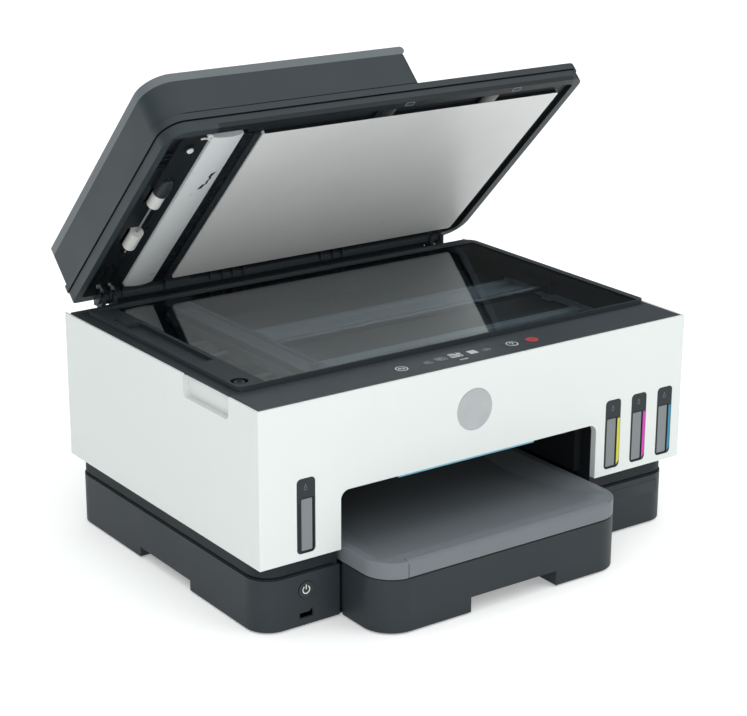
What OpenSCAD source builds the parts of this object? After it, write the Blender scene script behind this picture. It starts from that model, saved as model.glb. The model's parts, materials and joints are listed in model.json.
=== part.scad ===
// All-in-one ink tank printer: base with paper cassette, print compartment,
// lifting scanner unit, and a lid that carries a document feeder.
// Millimetres. +Z up, X centred, front towards -Y, lid drawn open at lid_open.

/* [Case] */
// Width of the white shell
case_w = 449; // [446:1:452]
// Depth of the white shell
case_d = 321; // [320:1:323]
// Height of the white shell's lower edge
shell_low = 62; // [61.5:0.5:62.5]
// Height of the white shell's top edge
shell_top = 195.8; // [195.5:0.1:196.2]
// Wall thickness of the housings
wall = 2; // [1.8:0.1:2.2]
// Left end of the output opening
cavity_x0 = -146.7; // [-147:0.1:-146.5]
// Right end of the output opening
cavity_x1 = 124.8; // [124.5:0.1:125]
// Height of the output opening's top edge
cavity_top = 113; // [112:0.5:114]

/* [Base] */
// Width of the base
base_w = 442.8; // [440:0.2:444]
// Setback of the base's front behind the shell's front
base_front = 5.6; // [5:0.1:6]
// Top of the base
base_top = 46.8; // [46.5:0.1:47]
// Radius of the base's upright corners
base_r = 22; // [20:1:24]
// Height of the rubber feet
foot_h = 1.5; // [1.4:0.1:1.6]
// Inset of the neck above the base
neck_inset = 1; // [0.5:0.5:2]

/* [Cassette and trays] */
// How far the cassette stands out in front of the shell
tray_reach = 53.2; // [52:0.2:54]
// Left side of the cassette's front
tray_x0 = -142.8; // [-143:0.1:-142.5]
// Right side of the cassette's front
tray_x1 = 115.3; // [115:0.1:115.5]
// Top of the cassette's front wall
tray_h = 48.5; // [48:0.1:48.6]
// Radius of the cassette's front corners
tray_r = 28; // [26:1:30]
// Top of the output tray's lip
lip_top = 63; // [62.5:0.5:63.5]

/* [Lid] */
// Opening angle of the lid
lid_open = 45.3; // [40:0.1:50]
// Width of the lid
lid_w = 436.4; // [434:0.2:438]
// Depth of the lid
lid_d = 263; // [262:0.5:264]
// Thickness of the lid's frame
lid_t = 17; // [16.8:0.1:17.2]
// Right end of the document feeder
adf_x1 = 40.1; // [39:0.1:41]
// Height of the feeder's housing above the lid's underside
adf_top = 48.7; // [48.5:0.1:49]
// Height of the feeder's top cover above the lid's underside
cover_top = 56.4; // [56.2:0.1:56.6]

/* [Hidden] */
$fn = 64;

// Lid hinge, behind and above the shell's front lower edge
hinge_y = 321.6;
hinge_z = 202.1;
// Distance from the shell's front to the rearmost point of the open lid
rear_reach = hinge_y + cover_top * sin(lid_open);
// Puts the middle of the whole part at Y = 0
y_front = (tray_reach - rear_reach) / 2;
xw = case_w / 2;
bx = base_w / 2;
base_back = case_d - 2.3;
nx = bx - neck_inset;
groove_top = 49.5;               // top of the groove between base and neck
lx = lid_w / 2;
e = 0.5;                        // overshoot of cutters

// Colours
dark = [0.25, 0.28, 0.30];
darker = [0.13, 0.15, 0.17];
white = [0.93, 0.94, 0.94];
grey = [0.50, 0.52, 0.54];
pale = [0.72, 0.73, 0.75];
steel = [0.70, 0.71, 0.73];
rubber = [0.08, 0.08, 0.09];
board = [0.05, 0.25, 0.15];

// Cassette bay and cassette
bay_x0 = tray_x0 - 1.7;
bay_x1 = tray_x1 + 1.7;
box_x0 = tray_x0 + 2.3;
box_x1 = tray_x1 - 2.3;
box_back = 300;
box_low = 4.6;
box_top = 44;
box_floor = box_low + wall;
path_x = (tray_x0 + tray_x1) / 2;      // middle of the paper path

// Ink windows: middle of each bezel, side of the colour bar (1 right, -1 left)
bezel_x = [-180.4, 144, 174.4, 205.2];
bezel_side = [-1, 1, 1, 1];
bezel_w = 17.8;
bezel_low = 67.5;
bezel_h = 64.5;
pane_w = 10.4;
pane_low = 69.5;
pane_h = 44.5;
// Ink tanks: left and right faces, rear face
tank_x0 = [-212, 130.5, 159.8, 190.2];
tank_x1 = [-151.5, 157.8, 188.2, 220.5];
tank_back = [118, 104, 104, 104];
tank_low = 64;
tank_top = 128;
neck_r = 8;
well_r = 6;
tank_fill_y = 62;
cap_z = 134;

// Print mechanism
rod_y0 = 224;
rod_z0 = 122;
feed_y = 246;
feed_z = 88;
exit_y = 158;
exit_z = 83;
plate_x0 = -150;                        // left side plate
plate_x1 = 126;                         // right side plate
pick_y = 262;
pick_z = 66;
door_y = 323;                          // axis of the rear door
door_z = 70;
arm_y = 226;
arm_z = 21;
carriage_x = 164;
carriage_hw = 50;

// Scanner unit
unit_hinge_y = 314;
unit_hinge_z = 184;
tub_low = 163;
tub_top = 191;
tub_x0 = -211;
tub_x1 = 219;
unit_x = 221.7;
seam_y = 46.2;
scoop_y0 = 43.7;                       // finger scoop in the shell's left side
scoop_y1 = 114.5;
scoop_low = 176.3;
scoop_d = 6;
scoop_rim = 194.7;                     // underside of the rim above it
bezel_top = 200.3;
glass_x0 = -188;
glass_x1 = 212;
glass_y0 = 48.6;
glass_y1 = 290;
scan_x = -127;
scan_rod_y = 176;
scan_rod_z = 179;

// ---- shapes -------------------------------------------------------------
// Everything is drawn with Y = 0 at the shell's front and then set in place.
module placed() { translate([0, y_front, 0]) children(); }

// The closed lid's frame: origin on its hinge line, front towards -Y.
module on_lid() {
    placed() translate([0, hinge_y, hinge_z]) rotate([-lid_open, 0, 0]) children();
}

module block(x0, x1, y0, y1, z0, z1) {
    translate([x0, y0, z0]) cube([x1 - x0, y1 - y0, z1 - z0]);
}

// Square corner less a quarter circle, cut away to round a corner.
module corner(r) {
    if (r > 0) difference() {
        translate([-1, -1]) square(r + 1);
        translate([r, r]) circle(r);
    }
}

// Rectangle with radii [front left, front right, rear right, rear left].
module rounded(x0, x1, y0, y1, radii) {
    difference() {
        translate([x0, y0]) square([x1 - x0, y1 - y0]);
        translate([x0, y0]) corner(radii[0]);
        translate([x1, y0]) rotate(90) corner(radii[1]);
        translate([x1, y1]) rotate(180) corner(radii[2]);
        translate([x0, y1]) rotate(270) corner(radii[3]);
    }
}

module slab(x0, x1, y0, y1, z0, z1, radii = [0, 0, 0, 0]) {
    translate([0, 0, z0]) linear_extrude(z1 - z0) rounded(x0, x1, y0, y1, radii);
}

// Extrusions of an outline drawn in Y-Z (along X) or in X-Z (along Y).
module along_x(x0, x1) {
    translate([x0, 0, 0]) rotate([90, 0, 90]) linear_extrude(x1 - x0) children();
}

module along_y(y0, y1) {
    translate([0, y1, 0]) rotate([90, 0, 0]) linear_extrude(y1 - y0) children();
}

module rod_x(x0, x1, y, z, r) {
    translate([x0, y, z]) rotate([0, 90, 0]) cylinder(h = x1 - x0, r = r);
}

module rod_y(y0, y1, x, z, r) {
    translate([x, y1, z]) rotate([90, 0, 0]) cylinder(h = y1 - y0, r = r);
}

module rod_z(z0, z1, x, y, r) {
    translate([x, y, z0]) cylinder(h = z1 - z0, r = r);
}

// ---- base ---------------------------------------------------------------
grip_y0 = 116.5;
grip_y1 = 202;
grip_h = 10.5;
grip_d = 24;

module grip_recess(grow) {
    for (side = [0, 1]) mirror([side, 0, 0])
        block(-bx - (grow > 0 ? 0 : e), -bx + grip_d + grow, grip_y0 - grow, grip_y1 + grow,
            foot_h - (grow > 0 ? 0 : e), grip_h + grow);
}

module base_shell() color(dark) placed() difference() {
    union() {
        difference() {
            slab(-bx, bx, base_front, base_back, foot_h, base_top, [base_r, base_r, base_r, base_r]);
            slab(-bx + wall, bx - wall, base_front + wall, base_back - wall, foot_h + 1.6, base_top + e,
                [base_r - wall, base_r - wall, base_r - wall, base_r - wall]);
        }
        // walls of the cassette bay
        block(bay_x0 - wall, bay_x0, base_front + 1, base_back - 1, foot_h, base_top);
        block(bay_x1, bay_x1 + wall, base_front + 1, base_back - 1, foot_h, base_top);
        // cross ribs beside the bay
        block(bay_x1 + 1, bx - 1, 34, 35.6, foot_h + 1, 40);
        for (y = [216, 280]) block(bay_x1 + 1, 160, y, y + 1.6, foot_h + 1, 40);
        intersection() {
            grip_recess(1.6);
            slab(-bx, bx, base_front, base_back, foot_h, base_top);
        }
    }
    grip_recess(0);
    // mouth for the cassette
    block(bay_x0, bay_x1, base_front - e, base_front + wall + e, foot_h + 1.6, base_top + e);
    block(bay_x0, bay_x1, base_front - e, base_front + 1.6, foot_h - e, base_top + e);
    // power button, USB port, power inlet and USB device port
    rod_y(base_front - e, base_front + wall + e, -177.3, 32.5, 7.6);
    block(-184.2, -170.4, base_front - e, base_front + wall + e, 7.7, 14.7);
    block(165, 193, base_back - wall - e, base_back + e, 14, 36);
    block(-190, -176.5, base_back - wall - e, base_back + e, 7.6, 20.1);
    // vent slots in the rear wall
    for (i = [0:7]) block(60 - 9 * i, 64 - 9 * i, base_back - wall - e, base_back + e, 20, 40);
}

module rubber_feet() color(rubber) placed()
    for (x = [-188, 188], y = [34, 292]) rod_z(0, foot_h, x, y, 8);

module power_button() color(darker) placed() difference() {
    union() {
        rod_y(base_front - 0.4, base_front + 6, -177.3, 32.5, 7.2);
        rod_y(base_front + wall + 0.2, base_front + wall + 1.4, -177.3, 32.5, 9);
    }
    // shallow dish for a fingertip
    translate([-177.3, base_front - 30.2, 32.5]) sphere(r = 30.2, $fn = 96);
}

module usb_ports() color(steel) placed() {
    // type A at the front: sheet metal shell and tongue
    difference() {
        block(-183.8, -170.8, base_front + 0.3, base_front + 15, 8, 14.4);
        block(-183.4, -171.2, base_front - e, base_front + 14.4, 8.4, 14);
    }
    block(-182.6, -172, base_front + 2, base_front + 14.6, 11.6, 13.4);
    // type B at the rear
    difference() {
        block(-189.6, -176.9, base_back - 15, base_back - 0.3, 8, 19.7);
        block(-189, -177.5, base_back - 14.4, base_back + e, 8.6, 19.1);
    }
    block(-186, -180.5, base_back - 14.6, base_back - 4, 12.4, 15.4);
}

module power_inlet() color(darker) placed() {
    difference() {
        union() {
            block(165.3, 192.7, base_back - 20, base_back + 0.6, 14.3, 35.7);
        }
        // figure-of-eight well for the plug
        rod_y(base_back - 14, base_back + 1.5, 175.2, 25, 5);
        rod_y(base_back - 14, base_back + 1.5, 182.8, 25, 5);
        block(175.2, 182.8, base_back - 14, base_back + 1.5, 20, 30);
    }
    for (x = [175.2, 182.8]) rod_y(base_back - 15, base_back - 4, x, 25, 1.1);
}

module main_board() color(board) placed() {
    difference() {
        block(-212, -150, 12, 314, 6.4, 8);
        block(-220, -194, grip_y0 - 5, grip_y1 + 5, 5, 9);
        // corners clear the base's rounded corners
        for (y = [-1, 303]) block(-220, -204, y, y + 20, 5, 9);
    }
    // standoffs, chips and connectors
    for (x = [-156, -186], y = [34, 104, 290]) rod_z(foot_h + 1.6, 6.4, x, y, 3);
    block(-186, -166, 60, 80, 8, 10);
    block(-182, -168, 88, 100, 8, 9.6);
    for (y = [130:16:194]) block(-160, -153, y, y + 12, 8, 15);
    for (y = [122, 170, 240, 262]) rod_z(8, 20, -180, y, 5);
}

module power_supply() color(darker) placed() difference() {
    union() {
        slab(124, 193, 60, 200, foot_h + 1.6, 42, [3, 3, 3, 3]);
        block(168, 190, 199, base_back - 20, 16, 34);
    }
    for (i = [0:8]) block(134, 183, 74 + 13 * i, 80 + 13 * i, 40, 43);
}

// ---- frame and white shell -----------------------------------------------
module mid_frame() color(darker) placed() difference() {
    union() {
        // neck under the shell, and the groove that parts it from the base
        difference() {
            union() {
                slab(-nx, nx, base_front + neck_inset, base_back - neck_inset, groove_top, shell_low,
                    [21, 21, 21, 21]);
                slab(-bx + 3, bx - 3, base_front + 3, base_back - 3, base_top, groove_top + e,
                    [19, 19, 19, 19]);
            }
            slab(-bx + 5, bx - 5, base_front + 5, base_back - 5, base_top - e, shell_low + e,
                [17, 17, 17, 17]);
        }
        // floor of the print compartment
        block(-xw + wall, xw - wall, wall, case_d - wall, shell_low, shell_low + 2);
        // cover plate over the base
        slab(-bx + 1.2, bx - 1.2, base_front + 1.2, base_back - 1.2, base_top, base_top + 1.2,
            [20.8, 20.8, 20.8, 20.8]);
        // posts beside the output opening
        block(cavity_x0 - 4, cavity_x0, base_front + neck_inset, 40, base_top, shell_low);
        block(cavity_x1, cavity_x1 + 4, base_front + neck_inset, 40, base_top, shell_low);
    }
    // way for the output tray
    block(cavity_x0, cavity_x1, -e, 156, base_top - e, shell_low + 3);
    // room for the shell's return lip
    block(cavity_x0 - wall, cavity_x1 + wall, -e, 6.5, shell_low, shell_low + 3);
    // way for the pick arm and for the paper's turn at the rear
    block(path_x - 24, path_x + 24, 180, 272, base_top - e, shell_low + 3);
    block(box_x0, box_x1, 264, 306, base_top - e, shell_low + 3);
}

module finger_scoop(grow) {
    along_x(-xw - (grow > 0 ? 0 : e), -xw + scoop_d + grow)
        rounded(scoop_y0 - grow, scoop_y1 + grow, scoop_low - grow,
            grow > 0 ? scoop_rim - 0.5 : shell_top + e, [5 + grow, 5 + grow, 0, 0]);
}

module output_arch(grow) {
    rounded(cavity_x0 - grow, cavity_x1 + grow, shell_low - 2, cavity_top + grow,
        [0, 0, 8 + grow, 8 + grow]);
}

module white_shell() color(white) placed() difference() {
    union() {
        difference() {
            block(-xw, xw, 0, case_d, shell_low, shell_top);
            block(-xw + wall, xw - wall, wall, case_d - wall, shell_low - e, shell_top + e);
        }
        finger_scoop(wall);
        // return lip around the output opening
        intersection() {
            along_y(0.5, 6.5) output_arch(wall);
            block(-xw, xw, 0, 10, shell_low, shell_top);
        }
        // ears that hold the rear door's pins
        for (x = [plate_x0 - 5, plate_x1 + 2]) {
            rod_x(x, x + 3, door_y, door_z, 4.5);
            block(x, x + 3, case_d - wall, door_y, door_z - 4.5, door_z + 4.5);
        }
    }
    for (x = [plate_x0 - 6, plate_x1 + 1]) rod_x(x, x + 5, door_y, door_z, 2.25);
    finger_scoop(0);
    along_y(-e, 8) output_arch(0);
    for (x = bezel_x) along_y(-e, wall + e)
        rounded(x - bezel_w / 2, x + bezel_w / 2, bezel_low, bezel_low + bezel_h, [4, 4, 4, 4]);
    // lowered rear wall under the scanner unit
    block(-xw + wall, xw - wall, case_d - wall - e, case_d + e, 170, shell_top + e);
    // mouth for the rear door
    block(plate_x0 - 2, plate_x1 + 2, case_d - wall - e, case_d + e, shell_low + 1.4, 150);
}

module output_liner() color(darker) placed() difference() {
    union() {
        // frame behind the white lip
        intersection() {
            along_y(6.6, 20) output_arch(wall);
            block(-xw, xw, 0, 30, shell_low + 2, shell_top);
        }
        // tunnel walls and roof
        block(cavity_x0 - wall, tray_x0 - 0.7, 19, 148, shell_low + 2, cavity_top + 2);
        block(tray_x1 + 2.7, cavity_x1 + wall, 19, 148, shell_low + 2, cavity_top + 2);
        block(cavity_x0 - wall, cavity_x1 + wall, 19, 60, cavity_top - 3, cavity_top + 2);
    }
    along_y(6, 20.1) output_arch(0);
    // hollow backs of the tunnel walls
    block(tray_x1 + 4.7, cavity_x1 + wall + e, 22, 146, shell_low + 4, cavity_top - 4);
    // notches that clear the exit rollers' brackets
    for (x = [-120:40:100]) block(x - 6, x + 6, 54, 61, cavity_top - 4, cavity_top);
}

module light_bar() color([0.75, 0.92, 1]) placed()
    slab(-88, 56, 2.2, 6.2, cavity_top - 2.4, cavity_top, [1, 1, 1, 1]);

module ink_bezels() color(dark) placed() for (i = [0:3]) {
    x = bezel_x[i];
    px = x - bezel_side[i] * 1.1;
    difference() {
        union() {
            along_y(0, wall + 0.5) rounded(x - bezel_w / 2 + 0.15, x + bezel_w / 2 - 0.15,
                bezel_low + 0.15, bezel_low + bezel_h - 0.15, [3.85, 3.85, 3.85, 3.85]);
            along_y(wall, wall + 1.2) rounded(x - bezel_w / 2 - 2, x + bezel_w / 2 + 2,
                bezel_low - 2, bezel_low + bezel_h + 2, [5, 5, 5, 5]);
        }
        along_y(-e, wall + 3) rounded(px - pane_w / 2 - 0.5, px + pane_w / 2 + 0.5,
            pane_low - 0.5, pane_low + pane_h + 0.5, [1.2, 1.2, 1.2, 1.2]);
    }
}

// ---- ink tanks ------------------------------------------------------------
module ink_tank(i, tint) color(tint) placed() {
    px = bezel_x[i] - bezel_side[i] * 1.1;
    mx = (tank_x0[i] + tank_x1[i]) / 2;
    difference() {
        union() {
            slab(tank_x0[i], tank_x1[i], 6, tank_back[i], tank_low, tank_top, [3, 3, 3, 3]);
            // sight glass that shows through the bezel
            along_y(0.7, 7) rounded(px - pane_w / 2, px + pane_w / 2, pane_low, pane_low + pane_h,
                [0.9, 0.9, 0.9, 0.9]);
            rod_z(tank_top - 1, cap_z - 1, mx, tank_fill_y, neck_r);
            // cheeks that hold the cap's pin
            for (s = [-1, 1]) block(mx + s * 7.5 - 1.2, mx + s * 7.5 + 1.2, tank_fill_y + 10,
                tank_fill_y + 17, tank_top - 1, cap_z + 2.5);
        }
        rod_z(tank_top - 12, cap_z + e, mx, tank_fill_y, well_r);
        for (s = [-1, 1]) rod_x(mx + s * 7.5 - 2, mx + s * 7.5 + 2, tank_fill_y + 14, cap_z - 0.5, 1.05);
    }
}

module tank_cap(i, tint) color(tint) placed() {
    mx = (tank_x0[i] + tank_x1[i]) / 2;
    difference() {
        union() {
            slab(mx - 9.5, mx + 9.5, tank_fill_y - 11.5, tank_fill_y + 7.5, cap_z - 0.5, cap_z + 3,
                [6, 6, 1, 1]);
            rod_z(cap_z - 5, cap_z, mx, tank_fill_y, neck_r + 1.5);
            block(mx - 5.8, mx + 5.8, tank_fill_y + 7, tank_fill_y + 13, cap_z - 0.5, cap_z + 2);
            rod_x(mx - 5.8, mx + 5.8, tank_fill_y + 14, cap_z - 0.5, 2.4);
        }
        rod_z(cap_z - 6, cap_z - 0.7, mx, tank_fill_y, neck_r + 0.3);
        // the skirt stops short of the hinge so that it can swing clear
        block(mx - 12, mx + 12, tank_fill_y + 1, tank_fill_y + 11, cap_z - 6, cap_z - 0.5);
    }
    rod_x(mx - 8.6, mx + 8.6, tank_fill_y + 14, cap_z - 0.5, 1);
}

// ---- print mechanism -------------------------------------------------------
module print_chassis() color(steel) placed() difference() {
    union() {
        // side plates that carry the rollers
        for (x = [plate_x0, plate_x1]) {
            block(x, x + 1.5, 148, 272, shell_low + 2, 92);
            block(x, x + 1.5, 234, 243, 90, 103);
        }
        // rear rail with a folded top flange
        block(-216, 216, 238, 239.5, 100, 158);
        block(-216, 216, 226, 239.5, 156.5, 158);
        // end brackets of the carriage rod, with feet
        for (x = [-217.5, 216]) {
            block(x, x + 1.5, 212, 239.5, shell_low + 2, 158);
            block(x > 0 ? x - 12 : x, x > 0 ? x + 1.5 : x + 13.5, 212, 239.5,
                shell_low + 2, shell_low + 3.5);
        }
    }
    for (x = [-218, 215]) rod_x(x, x + 3, rod_y0, rod_z0, 4.5);
    for (x = [plate_x0 - 1, plate_x1 - 1]) {
        rod_x(x, x + 4, feed_y, feed_z, 4.05);
        rod_x(x, x + 4, exit_y, exit_z, 3.05);
        rod_x(x, x + 4, pick_y, pick_z + 5, 3.05);
    }
    // lightening slots in the rear rail
    for (x = [-180:45:180]) block(x - 15, x + 15, 237, 240, 112, 124);
}

module carriage_rod() color(steel) placed() rod_x(-219, 219, rod_y0, rod_z0, 4.5);

module platen() color(darker) placed() {
    block(plate_x0 + 1.5, plate_x1, 172, 236, 82, 84.5);
    for (x = [-140:12:116]) block(x, x + 1.6, 172, 236, 84, 91);
    // legs to the compartment floor
    for (x = [-140, 100]) block(x, x + 12, 178, 182, shell_low + 2, 82.5);
    for (x = [-140, 100]) block(x, x + 12, 226, 230, shell_low + 2, 82.5);
}

module encoder_strip() color([0.8, 0.8, 0.82]) placed()
    block(-216, 216, 222, 222.6, 151.5, 157.5);

belt_y = 231;
belt_z = 134;
belt_r = 5;
belt_x0 = -200;
belt_x1 = 204;
pulley_r = 5;
// Outline of the paper belt's inside around the exit and feed pulleys, in Y-Z.
module belt_outline(grow) {
    r = pulley_r + grow;
    run = norm([feed_y - exit_y, feed_z - exit_z]);
    translate([exit_y, exit_z]) rotate(atan2(feed_z - exit_z, feed_y - exit_y)) {
        circle(r);
        translate([run, 0]) circle(r);
        translate([0, -r]) square([run, 2 * r]);
    }
}

module drive_belts() color(rubber) placed() {
    // carriage belt
    difference() {
        union() {
            block(belt_x0, belt_x1, belt_y - belt_r - 1, belt_y + belt_r + 1, belt_z, belt_z + 5);
            for (x = [belt_x0, belt_x1]) rod_z(belt_z, belt_z + 5, x, belt_y, belt_r + 1);
        }
        block(belt_x0, belt_x1, belt_y - belt_r, belt_y + belt_r, belt_z - e, belt_z + 6);
        for (x = [belt_x0, belt_x1]) rod_z(belt_z - e, belt_z + 6, x, belt_y, belt_r);
    }
    // paper drive belt beside the left plate
    along_x(plate_x0 - 7, plate_x0 - 2) difference() {
        belt_outline(0.6);
        belt_outline(0);
    }
}

module drive_motors() color(steel) placed() {
    // carriage motor under its pulley, and the pulley at the far end
    rod_z(shell_low + 3.5, 99, belt_x0, belt_y, 11);
    rod_z(99, belt_z, belt_x0, belt_y, 1.5);
    for (x = [belt_x0, belt_x1]) {
        rod_z(belt_z - 1, belt_z + 6, x, belt_y, belt_r - 0.05);
        block(x - 4, x + 4, belt_y, 238, belt_z - 4, belt_z - 1);
    }
    // paper motor beside the left plate
    rod_x(-200, -166, 262, 84, 16);
    block(-166.5, -164, 244, 280, shell_low + 2, 101);
    rod_x(-164.5, -159, 262, 84, 3.1);
}

module service_station() color(darker) placed() difference() {
    union() {
        slab(128.6, 202, 166, 236, shell_low + 2, 84, [2, 2, 2, 2]);
        // capping pads and wipers under the two printheads
        for (x = [carriage_x - 34, carriage_x + 14]) {
            slab(x, x + 20, 178, 204, 83, 90, [3, 3, 3, 3]);
            block(x, x + 20, 216, 217.2, 83, 92);
        }
    }
    for (x = [carriage_x - 32, carriage_x + 16]) slab(x, x + 16, 180, 202, 88, 91, [2, 2, 2, 2]);
}

module rear_paper_guide() color(darker) placed() difference() {
    union() {
        // inner drum of the turn and the ribs that hold it
        along_x(box_x0, box_x1) difference() {
            translate([284, 74]) circle(18);
            translate([284, 74]) circle(16);
        }
        for (x = [box_x0 + 4:42:box_x1 - 8]) along_x(x, x + 3) {
            translate([284, 74]) circle(17);
            polygon([[250, 66], [272, 66], [284, 74], [284, 92], [262, 92], [250, 80]]);
        }
        for (x = [box_x0, box_x1 - 3]) rod_x(x, x + 3, 284, 74, 17);
        for (x = [plate_x0 + 1.5, box_x1]) block(x, x == box_x1 ? plate_x1 : box_x0, 280, 288,
            shell_low + 2, 84);
    }
    // room for the feed roller's shaft and for the pick arm's shaft
    rod_x(plate_x0, plate_x1, feed_y, feed_z, 11);
    rod_x(plate_x0, plate_x1, pick_y, pick_z + 5, 6);
    block(path_x - 24, path_x + 24, 240, 278, 60, 100);
}

module feed_roller() color(rubber) placed() {
    rod_x(plate_x0 - 13.5, plate_x1 + 4, feed_y, feed_z, 4);
    for (x = [-126:36:100]) rod_x(x - 9, x + 9, feed_y, feed_z, 8);
    // driven gear and belt pulley outside the left plate
    rod_x(plate_x0 - 13, plate_x0 - 9, feed_y, feed_z, 13.3);
    rod_x(plate_x0 - 7, plate_x0 - 2, feed_y, feed_z, pulley_r - 0.05);
}

module exit_roller() color(rubber) placed() {
    rod_x(plate_x0 - 8, plate_x1 + 4, exit_y, exit_z, 3);
    for (x = [-126:36:100]) rod_x(x - 5, x + 5, exit_y, exit_z, 8);
    rod_x(plate_x0 - 7, plate_x0 - 2, exit_y, exit_z, pulley_r - 0.05);
}

module pick_arm() color(dark) placed() {
    rod_x(plate_x0 - 3, plate_x1 + 3, pick_y, pick_z + 5, 3);
    difference() {
        union() {
            rod_x(path_x - 18, path_x + 18, pick_y, pick_z + 5, 6);
            for (s = [-1, 1]) along_x(path_x + s * 15.5 - 1.5, path_x + s * 15.5 + 1.5)
                polygon([[pick_y - 5, pick_z + 8], [pick_y + 4, pick_z], [arm_y + 5, arm_z - 5],
                    [arm_y - 6, arm_z - 3], [arm_y - 6, arm_z + 6]]);
        }
        rod_x(path_x - 20, path_x + 20, arm_y, arm_z, 2.05);
    }
}

module pick_roller() color(rubber) placed() {
    rod_x(path_x - 13.5, path_x + 13.5, arm_y, arm_z, 11);
    rod_x(path_x - 18.5, path_x + 18.5, arm_y, arm_z, 2);
}

module print_carriage() color(darker) placed() translate([carriage_x, 0, 0]) difference() {
    union() {
        slab(-carriage_hw, carriage_hw, 168, 216, 97, 148, [5, 5, 0, 0]);
        // bearing block around the rod
        block(-carriage_hw, carriage_hw, 214, 230.5, 110, 132);
        // latch cover on top and encoder reader
        slab(-carriage_hw + 3, carriage_hw - 3, 170, 212, 147.5, 153, [8, 8, 2, 2]);
        block(-8, 8, 212, 221, 147.5, 156);
        // clamp on the belt
        block(-6, 6, 225, 228.2, 131.5, 133.9);
    }
    rod_x(-carriage_hw - e, carriage_hw + e, rod_y0, rod_z0, 4.55);
    // pockets of the two printheads
    for (x = [-24, 24]) block(x - 19, x + 19, 174, 206, 96, 138);
}

module printhead(x) color(dark) placed() translate([carriage_x + x, 0, 0]) {
    block(-18.6, 18.6, 174.4, 205.6, 101, 137.6);
    block(-9, 9, 178, 204, 93, 101.5);
}

module rear_access_door() color(darker) placed() difference() {
    union() {
        // rounded outer skin
        along_x(plate_x0, plate_x1) difference() {
            polygon([[315, 68], [318, 66.5], [330, 66.5], [338, 72], [341, 82], [341, 134],
                [338, 143], [330, 148.5], [315, 148.5]]);
            polygon([[313, 71], [326, 71], [332, 76], [337, 84], [337, 132], [333, 141],
                [327, 146], [313, 146]]);
        }
        for (x = [plate_x0, plate_x1 - wall]) along_x(x, x + wall)
            polygon([[315, 68], [330, 66.5], [338, 72], [341, 82], [341, 134], [330, 148.5],
                [315, 148.5]]);
        // curved ribs that turn the paper
        for (x = [plate_x0 + 14:30:plate_x1 - 14]) along_x(x, x + 2) difference() {
            polygon([[300, 84], [338, 84], [338, 120], [318, 112], [298, 98]]);
            translate([284, 74]) circle(23);
        }
        // pins at the lower corners
        rod_x(plate_x0 - 5, plate_x1 + 5, door_y, door_z, 2.2);
    }
    // finger catch
    block(path_x - 22, path_x + 22, 334, 345, 140, 150);
}

// ---- cassette ---------------------------------------------------------------
// rack and pinion of the width guides
tooth_n = 15;
tooth_pitch = 4.7124;                   // pi times the module of 1.5
pitch_r = 11.25;
tip = 1.2;                              // tooth height above and below the pitch line
root = 1.6;
pinion_y = 160;
rack_y = pitch_r + root + 2;            // middle of a rack's bar from the pinion's axis
notch_x0 = -53.3;
notch_x1 = 38;
notch_h = 14.8;
notch_d = 24;

module cassette_plan(inset, y1) {
    r = tray_r - inset;
    rounded(tray_x0 + inset, tray_x1 - inset, -tray_reach + inset, y1, [r, r, 0, 0]);
}

module paper_cassette() color(dark) placed() difference() {
    union() {
        translate([0, 0, foot_h]) linear_extrude(tray_h - foot_h) cassette_plan(0, 4);
        block(box_x0, box_x1, 0, box_back, box_low, box_top);
    }
    difference() {
        union() {
            translate([0, 0, foot_h + 2]) linear_extrude(60) cassette_plan(2.4, 1.6);
            block(box_x0 + wall, box_x1 - wall, 0, box_back - wall, box_floor, 60);
        }
        // pocket behind the handle notch
        block(notch_x0 - 2, notch_x1 + 2, -tray_reach, -tray_reach + notch_d + 2, 0, notch_h + 2);
        // floor step up to the paper's level
        block(box_x0, box_x1, -28, 2, 0, box_floor);
        // post of the pinion, rails beside the length guide's foot
        rod_z(box_floor - e, box_floor + 3, path_x, pinion_y, 2.45);
        for (s = [-1, 1]) block(path_x + s * 13.5 - 1, path_x + s * 13.5 + 1, -25, 138,
            box_floor - e, box_floor + 1.5);
    }
    block(notch_x0, notch_x1, -tray_reach - e, -tray_reach + notch_d, foot_h - e, notch_h);
    // slot in the rear wall for the pick arm
    block(path_x - 26, path_x + 26, box_back - wall - e, box_back + e, box_floor, box_top + e);
    // slots in which the width guides run
    for (s = [-1, 1]) block(path_x - 118, path_x + 118, pinion_y + s * rack_y - 2.3,
        pinion_y + s * rack_y + 2.3, box_floor - 1, box_floor + e);
}

module dish(drop) {
    // shallow valley along the tray, fading out to its sides
    intersection() {
        rod_x(-200, 200, 70, 55.5 + 778 - drop, 778, $fn = 360);
        along_y(-60, 200) polygon([[tray_x0 + 4, 64], [tray_x0 + 36, 54 - drop],
            [tray_x1 - 36, 54 - drop], [tray_x1 - 4, 64]]);
    }
}

module output_tray() color(grey) placed() difference() {
    translate([0, 0, tray_h]) linear_extrude(lip_top - tray_h) cassette_plan(0, 146);
    dish(0);
    difference() {
        translate([0, 0, tray_h - e]) linear_extrude(lip_top - tray_h - 2.2 + e) cassette_plan(2.2, 144);
        dish(2.2);
        // bosses behind the lip
        for (x = [-128, 108]) block(x - 4, x + 2, -40, -20, tray_h, lip_top);
    }
    // room for the extender's front bar
    block(-117.4, 98.4, -tray_reach - e, -tray_reach + 8.3, tray_h, lip_top + e);
}

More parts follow.
